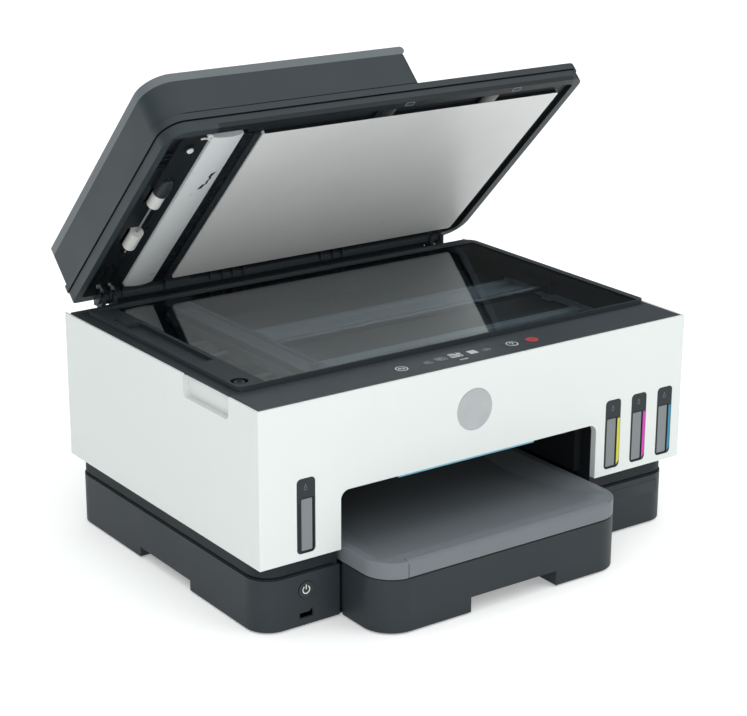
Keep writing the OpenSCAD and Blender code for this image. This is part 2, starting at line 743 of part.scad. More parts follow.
module tray_extender() color(grey) placed() {
    intersection() {
        along_x(-117, 98) polygon([[-tray_reach, tray_h + 0.6], [-tray_reach, lip_top - 3],
            [-tray_reach + 1.2, lip_top - 1], [-tray_reach + 4, lip_top], [-tray_reach + 8, lip_top],
            [-tray_reach + 8, tray_h + 0.6]]);
        translate([0, 0, tray_h]) linear_extrude(30) cassette_plan(0, 0);
    }
    difference() {
        block(-106, 87, -tray_reach + 7, 66, tray_h + 0.6, tray_h + 2.6);
        // window in the sliding plate
        slab(-60, 41, -30, 50, tray_h, tray_h + 3, [10, 10, 10, 10]);
    }
}

guide_x = 105;                          // half the width of A4 paper
module width_guide(side) color(grey) placed() translate([path_x, pinion_y, 0])
    rotate(side > 0 ? 0 : 180) {
    // upright fence with two windows
    difference() {
        block(guide_x + 0.5, guide_x + 3, side > 0 ? -55 : -45, side > 0 ? 45 : 55, box_floor + 0.1, 40);
        for (y = [-40, 20]) block(guide_x, guide_x + 4, y, y + 20, 18, 32);
    }
    // foot, and the rack that runs in the floor's slot
    block(guide_x - 12, guide_x + 11, -30, -rack_y + 2, box_floor + 0.1, box_floor + 1.5);
    block(-8, guide_x, -rack_y - 2, -rack_y + 2, box_floor - 0.9, box_floor + 1.5);
    shift = side > 0 ? 0.5 : 0;
    for (i = [-1:11]) translate([(i + shift) * tooth_pitch, -pitch_r, box_floor + 0.1])
        linear_extrude(1.4) polygon([[-1.62, -root - 0.1], [1.62, -root - 0.1], [1.04, -0.1],
            [0.62, tip], [-0.62, tip], [-1.04, -0.1]]);
}

module guide_pinion() color(pale) placed() translate([path_x, pinion_y, box_floor + 0.1]) {
    linear_extrude(2.2) difference() {
        union() {
            circle(pitch_r - root);
            for (i = [0:tooth_n - 1]) rotate(-90 + i * 360 / tooth_n) translate([pitch_r, 0])
                polygon([[-root - 0.6, -1.35], [-root, -1.3], [0, -1.02], [tip, -0.5], [tip, 0.5],
                    [0, 1.02], [-root, 1.3], [-root - 0.6, 1.35]]);
        }
        circle(2.5);
    }
}

module length_guide() color(grey) placed() {
    difference() {
        block(path_x - 22, path_x + 22, 2.4, 5, box_floor + 1.8, 38);
        block(path_x - 8, path_x + 8, 2, 6, 22, 30);
    }
    block(path_x - 12, path_x + 12, -24, 5, box_floor + 0.1, box_floor + 2.1);
}

// ---- scanner unit -----------------------------------------------------------
module scanner_tub() color(darker) placed() difference() {
    union() {
        difference() {
            slab(tub_x0, tub_x1, 12, 309, tub_low, tub_top, [4, 4, 4, 4]);
            slab(tub_x0 + 2, tub_x1 - 2, 14, 307, tub_low + 2, tub_top + e, [3, 3, 3, 3]);
        }
        // floor with long steps that guide the scan head
        along_x(tub_x0 + 1, tub_x1 - 1) polygon([[200, tub_low + 1], [200, 169], [206, 172.5],
            [214, 172.5], [216, 169.5], [232, 169.5], [234, 171.5], [240, 171.5], [240, tub_low + 1]]);
        along_x(tub_x0 + 1, tub_x1 - 1) polygon([[126, tub_low + 1], [128, 168.5], [140, 168.5],
            [142, tub_low + 1]]);
        along_x(tub_x0 + 1, tub_x1 - 1) polygon([[76, tub_low + 1], [78, 167], [96, 167],
            [98, tub_low + 1]]);
        // bearings of the scan rod
        for (x = [tub_x0 + 1, tub_x1 - 7]) block(x, x + 6, scan_rod_y - 6, scan_rod_y + 6,
            tub_low + 1, scan_rod_z + 6);
        // knuckles on the unit's hinge
        for (x = [-204, 197]) {
            rod_x(x, x + 7, unit_hinge_y, unit_hinge_z, 4);
            block(x, x + 7, 308, unit_hinge_y, unit_hinge_z - 4, unit_hinge_z + 4);
        }
    }
    for (x = [tub_x0 + 2, tub_x1 - 8]) rod_x(x, x + 6, scan_rod_y, scan_rod_z, 3);
    for (x = [-206, 195]) rod_x(x, x + 11, unit_hinge_y, unit_hinge_z, 2.05);
}

module unit_hinge_brackets() color(steel) placed() for (s = [0, 1]) mirror([s, 0, 0]) {
    // plate on the rear wall, two ears and a pin
    block(-211, -190, case_d - wall - 1.5, case_d - wall, 140, 182);
    for (x = [-211, -196.6]) difference() {
        union() {
            rod_x(x, x + 3, unit_hinge_y, unit_hinge_z, 4.2);
            block(x, x + 3, unit_hinge_y - 2, case_d - wall - 0.5, unit_hinge_z - 26,
                unit_hinge_z);
        }
        rod_x(x - 1, x + 4, unit_hinge_y, unit_hinge_z, 1.98);
    }
    rod_x(-211.5, -193.2, unit_hinge_y, unit_hinge_z, 2);
}

lid_ear_x = [-192, 176];
module scanner_bezel() color(darker) placed() difference() {
    union() {
        // flange that lies on the tub, and the raised bed
        slab(-unit_x, unit_x, seam_y + 0.3, 318, tub_top, shell_top, [0, 0, 3, 3]);
        slab(-212, 219, seam_y + 1, 304, shell_top - 1, bezel_top, [7, 5, 12, 7]);
        // rounded bar along the rear of the bed
        rod_x(-205, 208, 298.4, bezel_top - 4.1, 5.6);
        // pad behind the long recess
        slab(-206, -189.6, 244.5, 256, shell_top, bezel_top + 0.7, [2, 2, 2, 2]);
        // rear skirt, and the fence behind the lid's hinge edge
        block(-188, 188, 316.6, 320.4, 172, shell_top);
        block(-175.4, 175.4, 316.6, 324.2, 192.5, shell_top);
        block(-175.4, 175.4, 322.2, 324.2, 192.5, 200.8);
        // ears that carry the lid's pins
        for (x = lid_ear_x) for (dx = [0, 12]) {
            rod_x(x + dx, x + dx + 4, hinge_y, hinge_z, 6);
            block(x + dx, x + dx + 4, 312, hinge_y, shell_top - 1, hinge_z + 4);
            block(x + dx, x + dx + 4, hinge_y - 1, hinge_y + 6, shell_top, hinge_z);
        }
    }
    // seat of the glass and the view through it
    block(glass_x0, glass_x1, glass_y0, glass_y1, 197.2, bezel_top + 3);
    block(glass_x0 + 3, glass_x1 - 2.5, glass_y0 + 3, glass_y1 - 3, tub_top - e, bezel_top);
    // long shallow recess, screw well and small hole of the left margin
    slab(-207.2, -191.4, 120, 243, bezel_top - 3.6, bezel_top + e, [1, 1, 1, 1]);
    difference() {
        rod_z(bezel_top - 3.6, bezel_top + e, -202.5, 61.8, 7.4);
        rod_z(bezel_top - 4, bezel_top - 0.8, -202.5, 61.8, 4.6);
    }
    rod_z(bezel_top - 3.6, bezel_top + e, -202.5, 61.8, 2.4);
    // room above the finger scoop
    block(-unit_x - e, -xw + scoop_d + wall + 0.5, seam_y, scoop_y1 + wall + 0.6, tub_top - e, scoop_rim);
    rod_z(bezel_top - 3, bezel_top + e, -204.7, 261, 2.2);
    for (x = lid_ear_x) rod_x(x - 1, x + 17, hinge_y, hinge_z, 2.5);
}

module scanner_glass() color([0.2, 0.23, 0.25, 0.5]) placed()
    block(glass_x0 + 0.2, glass_x1 - 0.2, glass_y0 + 0.2, glass_y1 - 0.2, 197.2, bezel_top - 0.1);

module control_panel() color(dark) placed() difference() {
    block(-unit_x, unit_x, wall + 0.3, seam_y, 187.5, shell_top);
    block(-unit_x + wall, unit_x - wall, wall * 2 + 0.3, seam_y - wall, 187.5 - e, shell_top - wall);
    // room over the tub's front and over the finger scoop
    block(tub_x0 - 0.5, tub_x1 + 0.5, 11.5, seam_y + e, 187.5 - e, tub_top);
    block(-unit_x - e, -212, scoop_y0 - wall - 0.6, seam_y + e, 187, scoop_rim);
}

module lid_hinge_pins() color(steel) placed()
    for (x = lid_ear_x) rod_x(x - 0.3, x + 16.3, hinge_y, hinge_z, 2.5);

module scan_rod() color(steel) placed() rod_x(tub_x0 + 2, tub_x1 - 2, scan_rod_y, scan_rod_z, 3);

module scan_head() color(dark) placed() translate([scan_x, 0, 0]) difference() {
    union() {
        // light bar on its sled
        slab(-14, 10, 56, 286, 184, 194.5, [1, 1, 1, 1]);
        block(-17, 13, 60, 282, 181.5, 188);
        block(-17, 13, 162, 190, 174.3, 184);
        // spring feet that slide under the glass
        for (y = [64, 274]) slab(-4, 4, y, y + 6, 194, 196.6, [2, 2, 2, 2]);
        // fins along the side of the sled
        for (y = [70:9:272]) block(12.5, 18, y, y + 2, 182, 190.5);
    }
    rod_x(-18, 18.5, scan_rod_y, scan_rod_z, 3.05);
    // window of the light bar
    slab(-9, 5, 73, 271, 193.6, 195, [1, 1, 1, 1]);
}

// ---- lid and document feeder -----------------------------------------------
idler_y = [-92, -157];

module rail_rib() {
    polygon([[-13.6, 4.4], [-13.6, 1], [-8, -4], [-6.4, -5.6], [-0.8, -5.6], [-0.8, 4.4]]);
}

module lid_frame() color(dark) on_lid() difference() {
    union() {
        difference() {
            union() {
                // lower band, groove and upper band
                slab(-lx + 1.2, lx - 1.2, -lid_d + 1.2, -0.5, 0, 10.1, [20, 10, 24, 4]);
                slab(-lx + 2, lx - 2, -lid_d + 2, -1, 9, 12, [20, 9, 23, 4]);
                slab(-lx, lx, -lid_d, 0, 10.8, lid_t, [21, 11, 25, 4]);
            }
            // underside: shallow well over the pad, deeper well at the left
            slab(-lx + 8, lx - 9, -lid_d + 9, -9, -e, 4, [13, 5, 14, 3]);
            slab(-lx + 8, -134, -lid_d + 9, -9, 3, 9, [13, 0, 0, 3]);
            // hollow between the underside and the top skin
            slab(-134 + wall, lx - 11, -lid_d + 11, -11, 6, lid_t - 2.2, [4, 4, 12, 4]);
            slab(-lx + 10, -134, -lid_d + 11, -11, 11, lid_t - 2.2, [12, 4, 4, 4]);
        }
        // knuckles of the hinge
        for (x = lid_ear_x) {
            rod_x(x + 4.3, x + 11.7, 0, 0, 5.6);
            block(x + 4.3, x + 11.7, -10, 0, -0.5, 5.6);
        }
        // bearings of the idlers' shaft
        for (y = [-185, -70]) block(-190, -182, y, y + 4, 3, 9.5);
        // guide plate beside the backing strip, with the idlers' cut-outs
        difference() {
            union() {
                slab(-180.4, -169.3, -247, -12, 4.8, 9.5, [0, 1, 1, 3]);
                slab(-196, -169.3, -247, -171.5, 4.8, 9.5, [5, 0, 0, 2]);
            }
            for (y = idler_y) block(-194, -179.4, y - 12.4, y + 12.4, 4, 8);
            block(-189.5, -182.5, -181, -171, 4, 9.2);
            block(-180, -177, -108.5, -104.5, 4, 9.2);
        }
        // bosses of the strip's pegs, slotted rim beside the plate, clip near the hinge
        rod_z(2.4, 9.5, -184, -229, 5.4);
        rod_z(4, 9.5, -172, -247.4, 4);
        for (y = [-222, -216, -207, -203]) block(-208.6, -195, y, y + 1.4, 5.5, 9.5);
        for (dx = [0, 9]) block(-200 + dx, -198.6 + dx, -44, -22, 3, 9.5);
        block(-200, -189.6, -24, -22.6, 3, 9.5);
        // rail along the hinge edge, its ribs and its catch
        along_x(-193, 187.4) polygon([[-7, 0.5], [-7, -2.6], [-4.6, -5], [-0.6, -5], [-0.6, 0.5]]);
        for (x = [-194, -183, -170, -78, -65, -54, -42, 45, 59, 70]) along_x(x, x + 1.6) rail_rib();
        along_x(-126, -99.5) rail_rib();
    }
    // gaps for the ears, bores for the pins
    for (x = lid_ear_x) {
        for (dx = [0, 12]) block(x + dx - 0.4, x + dx + 4.4, -10.6, 6.5, -8, lid_t + e);
        rod_x(x - 1, x + 17, 0, 0, 2.55);
        block(x + 3.9, x + 12.1, -0.1, 10, 5.6, lid_t + e);
    }
    // windows for the idler rollers and, above them, for the feeder's paper way
    for (y = idler_y) slab(-194, -178, y - 13, y + 13, 8, 12, [1, 1, 1, 1]);
    block(-194, -178, -244, -20, lid_t - 2.5, lid_t + e);
    rod_y(-186, -65, -186, 5.6, 1.05);
}

module lid_pad() color(pale) on_lid() slab(-120, 199, -242.4, -14.4, 0.4, 4, [3, 3, 3, 3]);

// Gently crowned bar over the feeder's scan line.
module backing_strip() color(pale) on_lid() along_y(-243, -10) intersection() {
    translate([-152.5, 60]) circle(r = 58.5, $fn = 240);
    translate([-167.5, 1]) square([30, 8]);
}

ear_y = [-246, -27];
tray_pin_x = adf_x1 - 3.5;
tray_pin_z = cover_top - 3.5;
module feeder_housing() color(dark) on_lid() difference() {
    union() {
        feeder_case();
        // ears of the input tray's hinge
        for (y = ear_y) {
            rod_y(y, y + 10, tray_pin_x, tray_pin_z, 3.3);
            block(tray_pin_x - 3.3, tray_pin_x + 3.3, y, y + 10, 36, tray_pin_z);
        }
    }
    rod_y(-261.7, -1.3, -112, 34, 3.05);
    for (y = ear_y) rod_y(y - 1, y + 11, tray_pin_x, tray_pin_z, 1.55);
}

module feeder_case() difference() {
    union() {
        slab(-217.1, adf_x1, -262.8, -0.5, lid_t + 0.7, adf_top, [25, 6, 6, 6]);
        slab(-215.1, adf_x1 - 2, -260.8, -12.5, lid_t, lid_t + 1, [23, 4, 4, 4]);
    }
    // interior, left part for the turn and right part for the input well
    slab(-214.6, -100, -260, -3, lid_t + 3, adf_top + e, [22, 0, 0, 3]);
    block(-100 - e, adf_x1 - 2.5, -246, -17, 37, adf_top + e);
    // mouth of the input well
    block(adf_x1 - 3, adf_x1 + e, -246, -17, 37, adf_top + e);
    // output slot
    block(-100 - e, adf_x1 + e, -246, -17, lid_t + 3.2, 33);
    // window over the idlers and the backing strip
    block(-196, -134.5, -250, -20, lid_t - e, lid_t + 4);
}

module feeder_idlers() color(pale) on_lid() {
    rod_y(-184.5, -66.5, -186, 5.6, 1);
    for (y = idler_y) rod_y(y - 11, y + 11, -186, 5.6, 6);
}

module feeder_pick_roller() color(rubber) on_lid() {
    rod_y(-261.5, -1.5, -112, 34, 3);
    for (y = [-146, -120]) rod_y(y - 9, y + 9, -112, 34, 10);
    rod_y(-254, -249, -112, 34, 9);
}

module feeder_tray() color(grey) on_lid() difference() {
    union() {
        difference() {
            slab(-217.1, adf_x1, -262.8, -0.5, adf_top, cover_top, [25, 4, 4, 6]);
            slab(-214.9, adf_x1 + e, -260.6, -2.7, adf_top - e, cover_top - 2.2, [23, 0, 0, 4]);
            block(adf_x1 - 3.5, adf_x1 + e, -264, 1, adf_top - e, cover_top + e);
        }
        along_y(-262.8, -0.5) intersection() {
            translate([tray_pin_x, tray_pin_z]) circle(3.5);
            translate([adf_x1 - 7, cover_top - 7]) square(8);
        }
    }
    for (y = ear_y) difference() {
        block(adf_x1 - 7.4, adf_x1 + 1, y - 0.3, y + 10.3, adf_top - e, cover_top + e);
        rod_y(y - 1, y + 11, tray_pin_x, tray_pin_z, 1.5);
    }
}

module feeder_guide(y0) color(darker) on_lid() {
    block(-60, 28, y0, y0 + 2, 40, cover_top - 2.4);
    block(-60, 28, y0 - 5, y0 + 7, cover_top - 3.6, cover_top - 2.4);
}

base_shell();
mid_frame();
white_shell();
output_liner();
light_bar();
ink_bezels();
ink_tank(0, darker);  // black_ink_tank
ink_tank(1, [0.8, 0.75, 0.2]);  // yellow_ink_tank
ink_tank(2, [0.75, 0.2, 0.6]);  // magenta_ink_tank
ink_tank(3, [0.1, 0.5, 0.65]);  // cyan_ink_tank
rubber_feet();
usb_ports();
power_inlet();
main_board();
power_supply();
print_chassis();
carriage_rod();
platen();
encoder_strip();
drive_belts();
drive_motors();
service_station();
rear_paper_guide();
unit_hinge_brackets();
power_button();
paper_cassette();
output_tray();
width_guide(-1);  // left_width_guide
width_guide(1);  // right_width_guide
guide_pinion();
length_guide();
tray_extender();
feed_roller();
exit_roller();
pick_arm();
pick_roller();
print_carriage();
printhead(-24);  // black_printhead
printhead(24);  // colour_printhead
rear_access_door();
tank_cap(0, darker);  // black_tank_cap
tank_cap(1, [0.8, 0.75, 0.2]);  // yellow_tank_cap
tank_cap(2, [0.75, 0.2, 0.6]);  // magenta_tank_cap
tank_cap(3, [0.1, 0.5, 0.65]);  // cyan_tank_cap
scanner_tub();
scanner_bezel();
scanner_glass();
control_panel();
scan_rod();
lid_hinge_pins();
scan_head();
lid_frame();
lid_pad();
backing_strip();
feeder_housing();
feeder_idlers();
feeder_pick_roller();
feeder_tray();
feeder_guide(-238.6);  // feeder_guide_front
feeder_guide(-28.6);  // feeder_guide_rear
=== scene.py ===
"""Looks of the all-in-one ink tank printer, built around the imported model.

Lengths are millimetres in the helpers and metres in Blender. Two places are used for the fine pieces:
BODY has its origin on the ground below the middle of the white shell's front face. LID is the lid's own
frame as it stands open at rest, with its origin on the hinge line and its front towards -Y.
"""
import json
import math
import random

import bmesh
import bpy
from mathutils import Matrix, Vector
from mathutils.geometry import tessellate_polygon


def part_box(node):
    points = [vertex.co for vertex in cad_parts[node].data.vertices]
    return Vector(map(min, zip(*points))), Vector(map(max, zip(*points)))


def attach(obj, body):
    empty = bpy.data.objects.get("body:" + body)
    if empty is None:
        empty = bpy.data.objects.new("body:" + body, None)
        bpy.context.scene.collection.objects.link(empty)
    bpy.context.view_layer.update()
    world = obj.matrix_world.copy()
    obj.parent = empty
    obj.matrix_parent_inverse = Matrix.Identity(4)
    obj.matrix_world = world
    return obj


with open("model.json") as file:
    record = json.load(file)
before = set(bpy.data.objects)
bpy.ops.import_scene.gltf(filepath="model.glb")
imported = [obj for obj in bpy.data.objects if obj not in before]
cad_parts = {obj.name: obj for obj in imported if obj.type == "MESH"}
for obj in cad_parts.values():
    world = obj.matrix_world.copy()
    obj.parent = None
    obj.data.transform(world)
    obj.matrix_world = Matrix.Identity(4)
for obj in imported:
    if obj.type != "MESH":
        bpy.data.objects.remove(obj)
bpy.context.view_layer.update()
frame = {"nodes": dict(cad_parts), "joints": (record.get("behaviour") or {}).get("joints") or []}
nodes = frame["nodes"]
joints = {j["name"]: j for j in frame["joints"]}

MM = 0.001
SHELL_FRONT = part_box("white_shell")[0].y
SHELL_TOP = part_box("white_shell")[1].z / MM
BASE_FRONT = 5.6             # setback of the base's front behind the shell's front
BED_TOP = 200.3              # top face of the scanner's bezel
LID_OPEN = -joints["lid_swing"]["range_deg"][0]
LID_T = 17.0                 # thickness of the lid's frame

BODY = Matrix.Translation((0, SHELL_FRONT, 0)) @ Matrix.Scale(MM, 4)
LID = (
    Matrix.Translation(joints["lid_swing"]["pos_m"])
    @ Matrix.Rotation(math.radians(-LID_OPEN), 4, "X")
    @ Matrix.Scale(MM, 4)
)
# Outlines drawn in X-Z and raised towards -Y, for what lies on a front face
UPRIGHT = Matrix.Rotation(math.radians(90), 4, "X")
SHELL_FACE = BODY @ UPRIGHT
BASE_FACE = BODY @ Matrix.Translation((0, BASE_FRONT, 0)) @ UPRIGHT
# Outlines drawn in X-Y, for what lies on a level face
PANEL = BODY @ Matrix.Translation((0, 0, SHELL_TOP))
BED = BODY @ Matrix.Translation((0, 0, BED_TOP))
# What hangs under the lid: x, minus the distance from the hinge, height below the underside
UNDER = LID @ Matrix.Scale(-1, 4, (0, 0, 1))


# ---- materials --------------------------------------------------------------
def srgb(r, g, b):
    """Display colour 0-255 as linear RGBA."""
    def one(v):
        v /= 255
        return v / 12.92 if v <= 0.04045 else ((v + 0.055) / 1.055) ** 2.4
    return (one(r), one(g), one(b), 1.0)


class Look:
    """A node material with one Principled shader, and helpers that feed its sockets."""

    def __init__(self, name, colour, rough, **sockets):
        self.mat = bpy.data.materials.new(name)
        self.mat.use_nodes = True
        self.tree = self.mat.node_tree
        self.shader = self.tree.nodes["Principled BSDF"]
        self.colour = colour
        self.rough = rough
        self.shader.inputs["Base Color"].default_value = colour
        self.shader.inputs["Roughness"].default_value = rough
        for key, value in sockets.items():
            self.shader.inputs[key.replace("_", " ")].default_value = value
        self.where = self.node("ShaderNodeTexCoord").outputs["Object"]
        self.normal = None

    def node(self, kind, **settings):
        n = self.tree.nodes.new(kind)
        for key, value in settings.items():
            setattr(n, key, value)
        return n

    def link(self, a, b):
        self.tree.links.new(a, b)

    def noise(self, size_mm, detail=2.0, stretch=None):
        """Noise with features about size_mm wide, 0-1."""
        n = self.node("ShaderNodeTexNoise")
        n.inputs["Scale"].default_value = 1 / (size_mm * MM)
        n.inputs["Detail"].default_value = detail
        place = self.where
        if stretch:
            m = self.node("ShaderNodeMapping")
            m.inputs["Scale"].default_value = stretch
            self.link(place, m.inputs["Vector"])
            place = m.outputs["Vector"]
        self.link(place, n.inputs["Vector"])
        return n.outputs["Fac"]

    def ranged(self, value, low, high, start=0.3, end=0.7):
        """Spreads values from start to end over low to high."""
        n = self.node("ShaderNodeMapRange")
        n.inputs["From Min"].default_value = start
        n.inputs["From Max"].default_value = end
        n.inputs["To Min"].default_value = low
        n.inputs["To Max"].default_value = high
        self.link(value, n.inputs["Value"])
        return n.outputs["Result"]

    def mottle(self, size_mm, amount, start=0.3, end=0.7):
        """Slight lightness variation of the colour."""
        n = self.node("ShaderNodeMix", data_type="RGBA")
        n.inputs["A"].default_value = tuple(c * (1 - amount) for c in self.colour[:3]) + (1,)
        n.inputs["B"].default_value = tuple(min(1, c * (1 + amount)) for c in self.colour[:3]) + (1,)
        self.link(self.ranged(self.noise(size_mm), 0, 1, start, end), n.inputs["Factor"])
        self.link(n.outputs["Result"], self.shader.inputs["Base Color"])
        return self

    def smears(self, size_mm, amount):
        """Slow variation of roughness."""
        value = self.ranged(self.noise(size_mm, 3.0), self.rough - amount, self.rough + amount)
        self.link(value, self.shader.inputs["Roughness"])
        return self

    def bump(self, size_mm, depth_mm, detail=2.0, stretch=None):
        n = self.node("ShaderNodeBump")
        n.inputs["Distance"].default_value = depth_mm * MM
        n.inputs["Strength"].default_value = 1.0
        self.link(self.noise(size_mm, detail, stretch), n.inputs["Height"])
        if self.normal:
            self.link(self.normal, n.inputs["Normal"])
        self.normal = n.outputs["Normal"]
        self.link(self.normal, self.shader.inputs["Normal"])
        return self

    def glows(self, colour, strength):
        self.shader.inputs["Emission Color"].default_value = colour
        self.shader.inputs["Emission Strength"].default_value = strength
        return self

    def inside(self, place, low, high):
        """1 inside a box drawn in a place's millimetres, 0 outside it. A side that is None is open."""
        location, rotation, scale = place.decompose()
        m = self.node("ShaderNodeMapping", vector_type="TEXTURE")
        m.inputs["Location"].default_value = location
        m.inputs["Rotation"].default_value = rotation.to_euler()
        m.inputs["Scale"].default_value = scale
        self.link(self.where, m.inputs["Vector"])
        axes = self.node("ShaderNodeSeparateXYZ")
        self.link(m.outputs["Vector"], axes.inputs["Vector"])
        factor = None
        for axis, lo, hi in zip("XYZ", low, high):
            for op, bound in (("GREATER_THAN", lo), ("LESS_THAN", hi)):
                if bound is None:
                    continue
                test = self.node("ShaderNodeMath", operation=op)
                self.link(axes.outputs[axis], test.inputs[0])
                test.inputs[1].default_value = bound
                if factor is None:
                    factor = test.outputs[0]
                else:
                    both = self.node("ShaderNodeMath", operation="MULTIPLY")
                    self.link(factor, both.inputs[0])
                    self.link(test.outputs[0], both.inputs[1])
                    factor = both.outputs[0]
        return factor

    def zone(self, colour, place, low, high):
        """Another colour over the look's own inside a box drawn in a place's millimetres."""
        socket = self.shader.inputs["Base Color"]
        mix = self.node("ShaderNodeMix", data_type="RGBA")
        self.link(socket.links[0].from_socket, mix.inputs["A"])
        mix.inputs["B"].default_value = colour
        self.link(self.inside(place, low, high), mix.inputs["Factor"])
        self.link(mix.outputs["Result"], socket)
        return self


CLOUD_MM, SMEAR_MM = 35, 60   # widths of a moulding's slow changes in colour and roughness
ANY = (None, None, None)


def moulded(name, colour, rough, grain=0.7, depth=0.012, cloud=0.02, **sockets):
    """Injection-moulded plastic with a fine spark-eroded texture."""
    look = Look(name, colour, rough, **sockets)
    return look.mottle(CLOUD_MM, cloud).smears(SMEAR_MM, 2 * cloud).bump(grain, depth, 3.0)


def printed(name, colour):
    return moulded(name, colour, 0.5, depth=0.002)


def metal(name, colour, rough, stretch):
    """Metal whose fine grain is stretched along the axis with the small factor."""
    look = Look(name, colour, rough, Metallic=1.0)
    return look.mottle(20, 0.06).smears(12, 0.07).bump(1.2, 0.01, 3.0, stretch)


CASE = srgb(50, 58, 62)
BASE = srgb(43, 50, 54)
BLACK = srgb(22, 26, 29)

# shells
white = moulded("white_plastic", srgb(224, 229, 227), 0.42, cloud=0.005, Specular_IOR_Level=0.4)
case = moulded("dark_case_plastic", BASE, 0.48, Specular_IOR_Level=0.25)
# painted shade: the neck is darker than the base's plastic, for the shade under the white shell's bottom
# edge
neck = moulded("neck_plastic", srgb(30, 36, 40), 0.6, Specular_IOR_Level=0.25)
black = moulded("black_plastic", BLACK, 0.55, Specular_IOR_Level=0.25)
panel_look = moulded("panel_plastic", srgb(58, 65, 70), 0.38, depth=0.006, Specular_IOR_Level=0.35)
gloss_black = moulded("button_plastic", srgb(28, 32, 35), 0.3, depth=0.004)
# cassette, with a painted shadow along its top under the output tray's rim
cassette_look = moulded("cassette_plastic", BASE, 0.48, Specular_IOR_Level=0.25)
cassette_look.zone(srgb(9, 12, 14), BODY, (None, None, 47.6), (None, 0, None))
tray_grey = moulded("tray_plastic", srgb(112, 118, 123), 0.5, Specular_IOR_Level=0.35)
guide_grey = moulded("guide_plastic", srgb(92, 98, 103), 0.5)
# scanner: the bed with painted shade in its screw well, and the tub with painted highlights on its rails
bed = moulded("bed_plastic", srgb(50, 57, 61), 0.5, Specular_IOR_Level=0.3)
bed.zone(srgb(8, 10, 12), BODY, (-210.2, 54.2, None), (-194.8, 69.4, 199.4))
tub_look = moulded("tub_plastic", srgb(58, 67, 72), 0.5, Specular_IOR_Level=0.3)
# painted highlights: the rails are lighter than the tub's floor and walls
tub_look.zone(srgb(132, 146, 155), BODY, (None, 70, 166.4), (None, 245, 173))
head_look = moulded("scan_head_plastic", srgb(84, 94, 101), 0.5)
glass = Look("float_glass", (0.86, 0.92, 0.94, 1), 0.0, IOR=1.5, Transmission_Weight=1.0,
             Specular_IOR_Level=0.32, Specular_Tint=(0.86, 0.97, 1.0, 1))
# lid: its darker inner underside, and painted shade in the groove round its edge and in the channel in its
# front rim
lid_look = moulded("lid_plastic", CASE, 0.48, Specular_IOR_Level=0.3)
lid_look.zone(srgb(24, 29, 32), LID, (-210.5, -254.2, -1), (209.4, -8.8, 9.2))
lid_look.zone(srgb(14, 17, 19), LID, (None, None, 9.9), (None, None, 10.95))
# painted shade in the channel in the front rim
lid_look.zone(srgb(24, 30, 33), LID, (-170, None, None), (206, -254, 4.5))
well_look = moulded("lid_well_plastic", srgb(38, 44, 48), 0.5, Specular_IOR_Level=0.3)
pad_look = Look("lid_pad_foil", srgb(222, 222, 221), 0.32).mottle(80, 0.02).smears(90, 0.05)
# painted shade over the pad's front edge and the tabs that hold it, by the channel in the front rim
pad_look.bump(60, 0.15, 1.0).zone(srgb(20, 24, 27), LID, ANY, (None, -242.2, None))
strip_look = Look("backing_strip_plastic", srgb(214, 218, 219), 0.3).mottle(40, 0.02).smears(30, 0.04)
strip_look.bump(3, 0.01)
creased = Look("creased_film", srgb(20, 24, 27), 0.36, Specular_IOR_Level=0.4).mottle(12, 0.25)
creased.smears(9, 0.1).bump(6, 0.3, 3.0)
# document feeder, with painted shade in the seam between housing and lid
housing_look = moulded("housing_plastic", CASE, 0.48, Specular_IOR_Level=0.3)
housing_look.zone(srgb(12, 15, 17), LID, ANY, (None, None, LID_T + 0.9))
cover_grey = moulded("cover_plastic", srgb(104, 111, 115), 0.5, Specular_IOR_Level=0.35)
# rollers on their grey shaft
idler_look = moulded("idler_nylon", srgb(214, 215, 212), 0.4)
idler_look.zone(srgb(120, 124, 127), LID, (-187.1, None, 4.5), (-184.9, None, 6.7))
nylon = moulded("nylon", srgb(215, 216, 212), 0.4)
rubber = moulded("rubber", srgb(24, 24, 25), 0.8, grain=0.4, depth=0.03, Specular_IOR_Level=0.2)
# metal, board and film
steel = metal("zinc_steel", srgb(186, 188, 190), 0.36, (0.08, 1, 1))
bright_steel = metal("ground_steel", srgb(205, 206, 208), 0.2, (0.02, 1, 1))
steel_dark = metal("blackened_steel", srgb(70, 73, 76), 0.4, (1, 1, 1))
rod_look = metal("rod_steel", srgb(96, 104, 110), 0.4, (0.05, 1, 1))
badge_look = Look("badge_metal", srgb(176, 179, 181), 0.42, Metallic=0.6).mottle(18, 0.04)
badge_look.smears(20, 0.05).bump(0.8, 0.006, 3.0, (1, 0.06, 1))
board_look = Look("solder_mask", srgb(18, 74, 48), 0.35).mottle(4, 0.25, 0.48, 0.52).bump(2, 0.02)
film = Look("film", srgb(168, 172, 176), 0.3).mottle(3, 0.1)
# light and signs
glow = Look("light_guide", srgb(110, 150, 165), 0.3).glows(srgb(70, 165, 195), 0.4).mottle(20, 0.03)
print_bright = printed("printed_bright", srgb(235, 236, 238))
print_white = printed("printed_white", srgb(205, 208, 210))
print_dim = printed("printed_grey", srgb(150, 156, 160))
print_faint = printed("moulded_sign", srgb(112, 119, 123))
print_red = printed("printed_red", srgb(190, 58, 70))

INKS = {
    "black": srgb(20, 21, 23),
    "yellow": srgb(206, 204, 44),
    "magenta": srgb(205, 50, 170),
    "cyan": srgb(18, 128, 158),
}
SIGHT_BACK = 7.2              # just behind the sight glasses
INK_LOW, INK_LEVEL = 59.0, 105.0


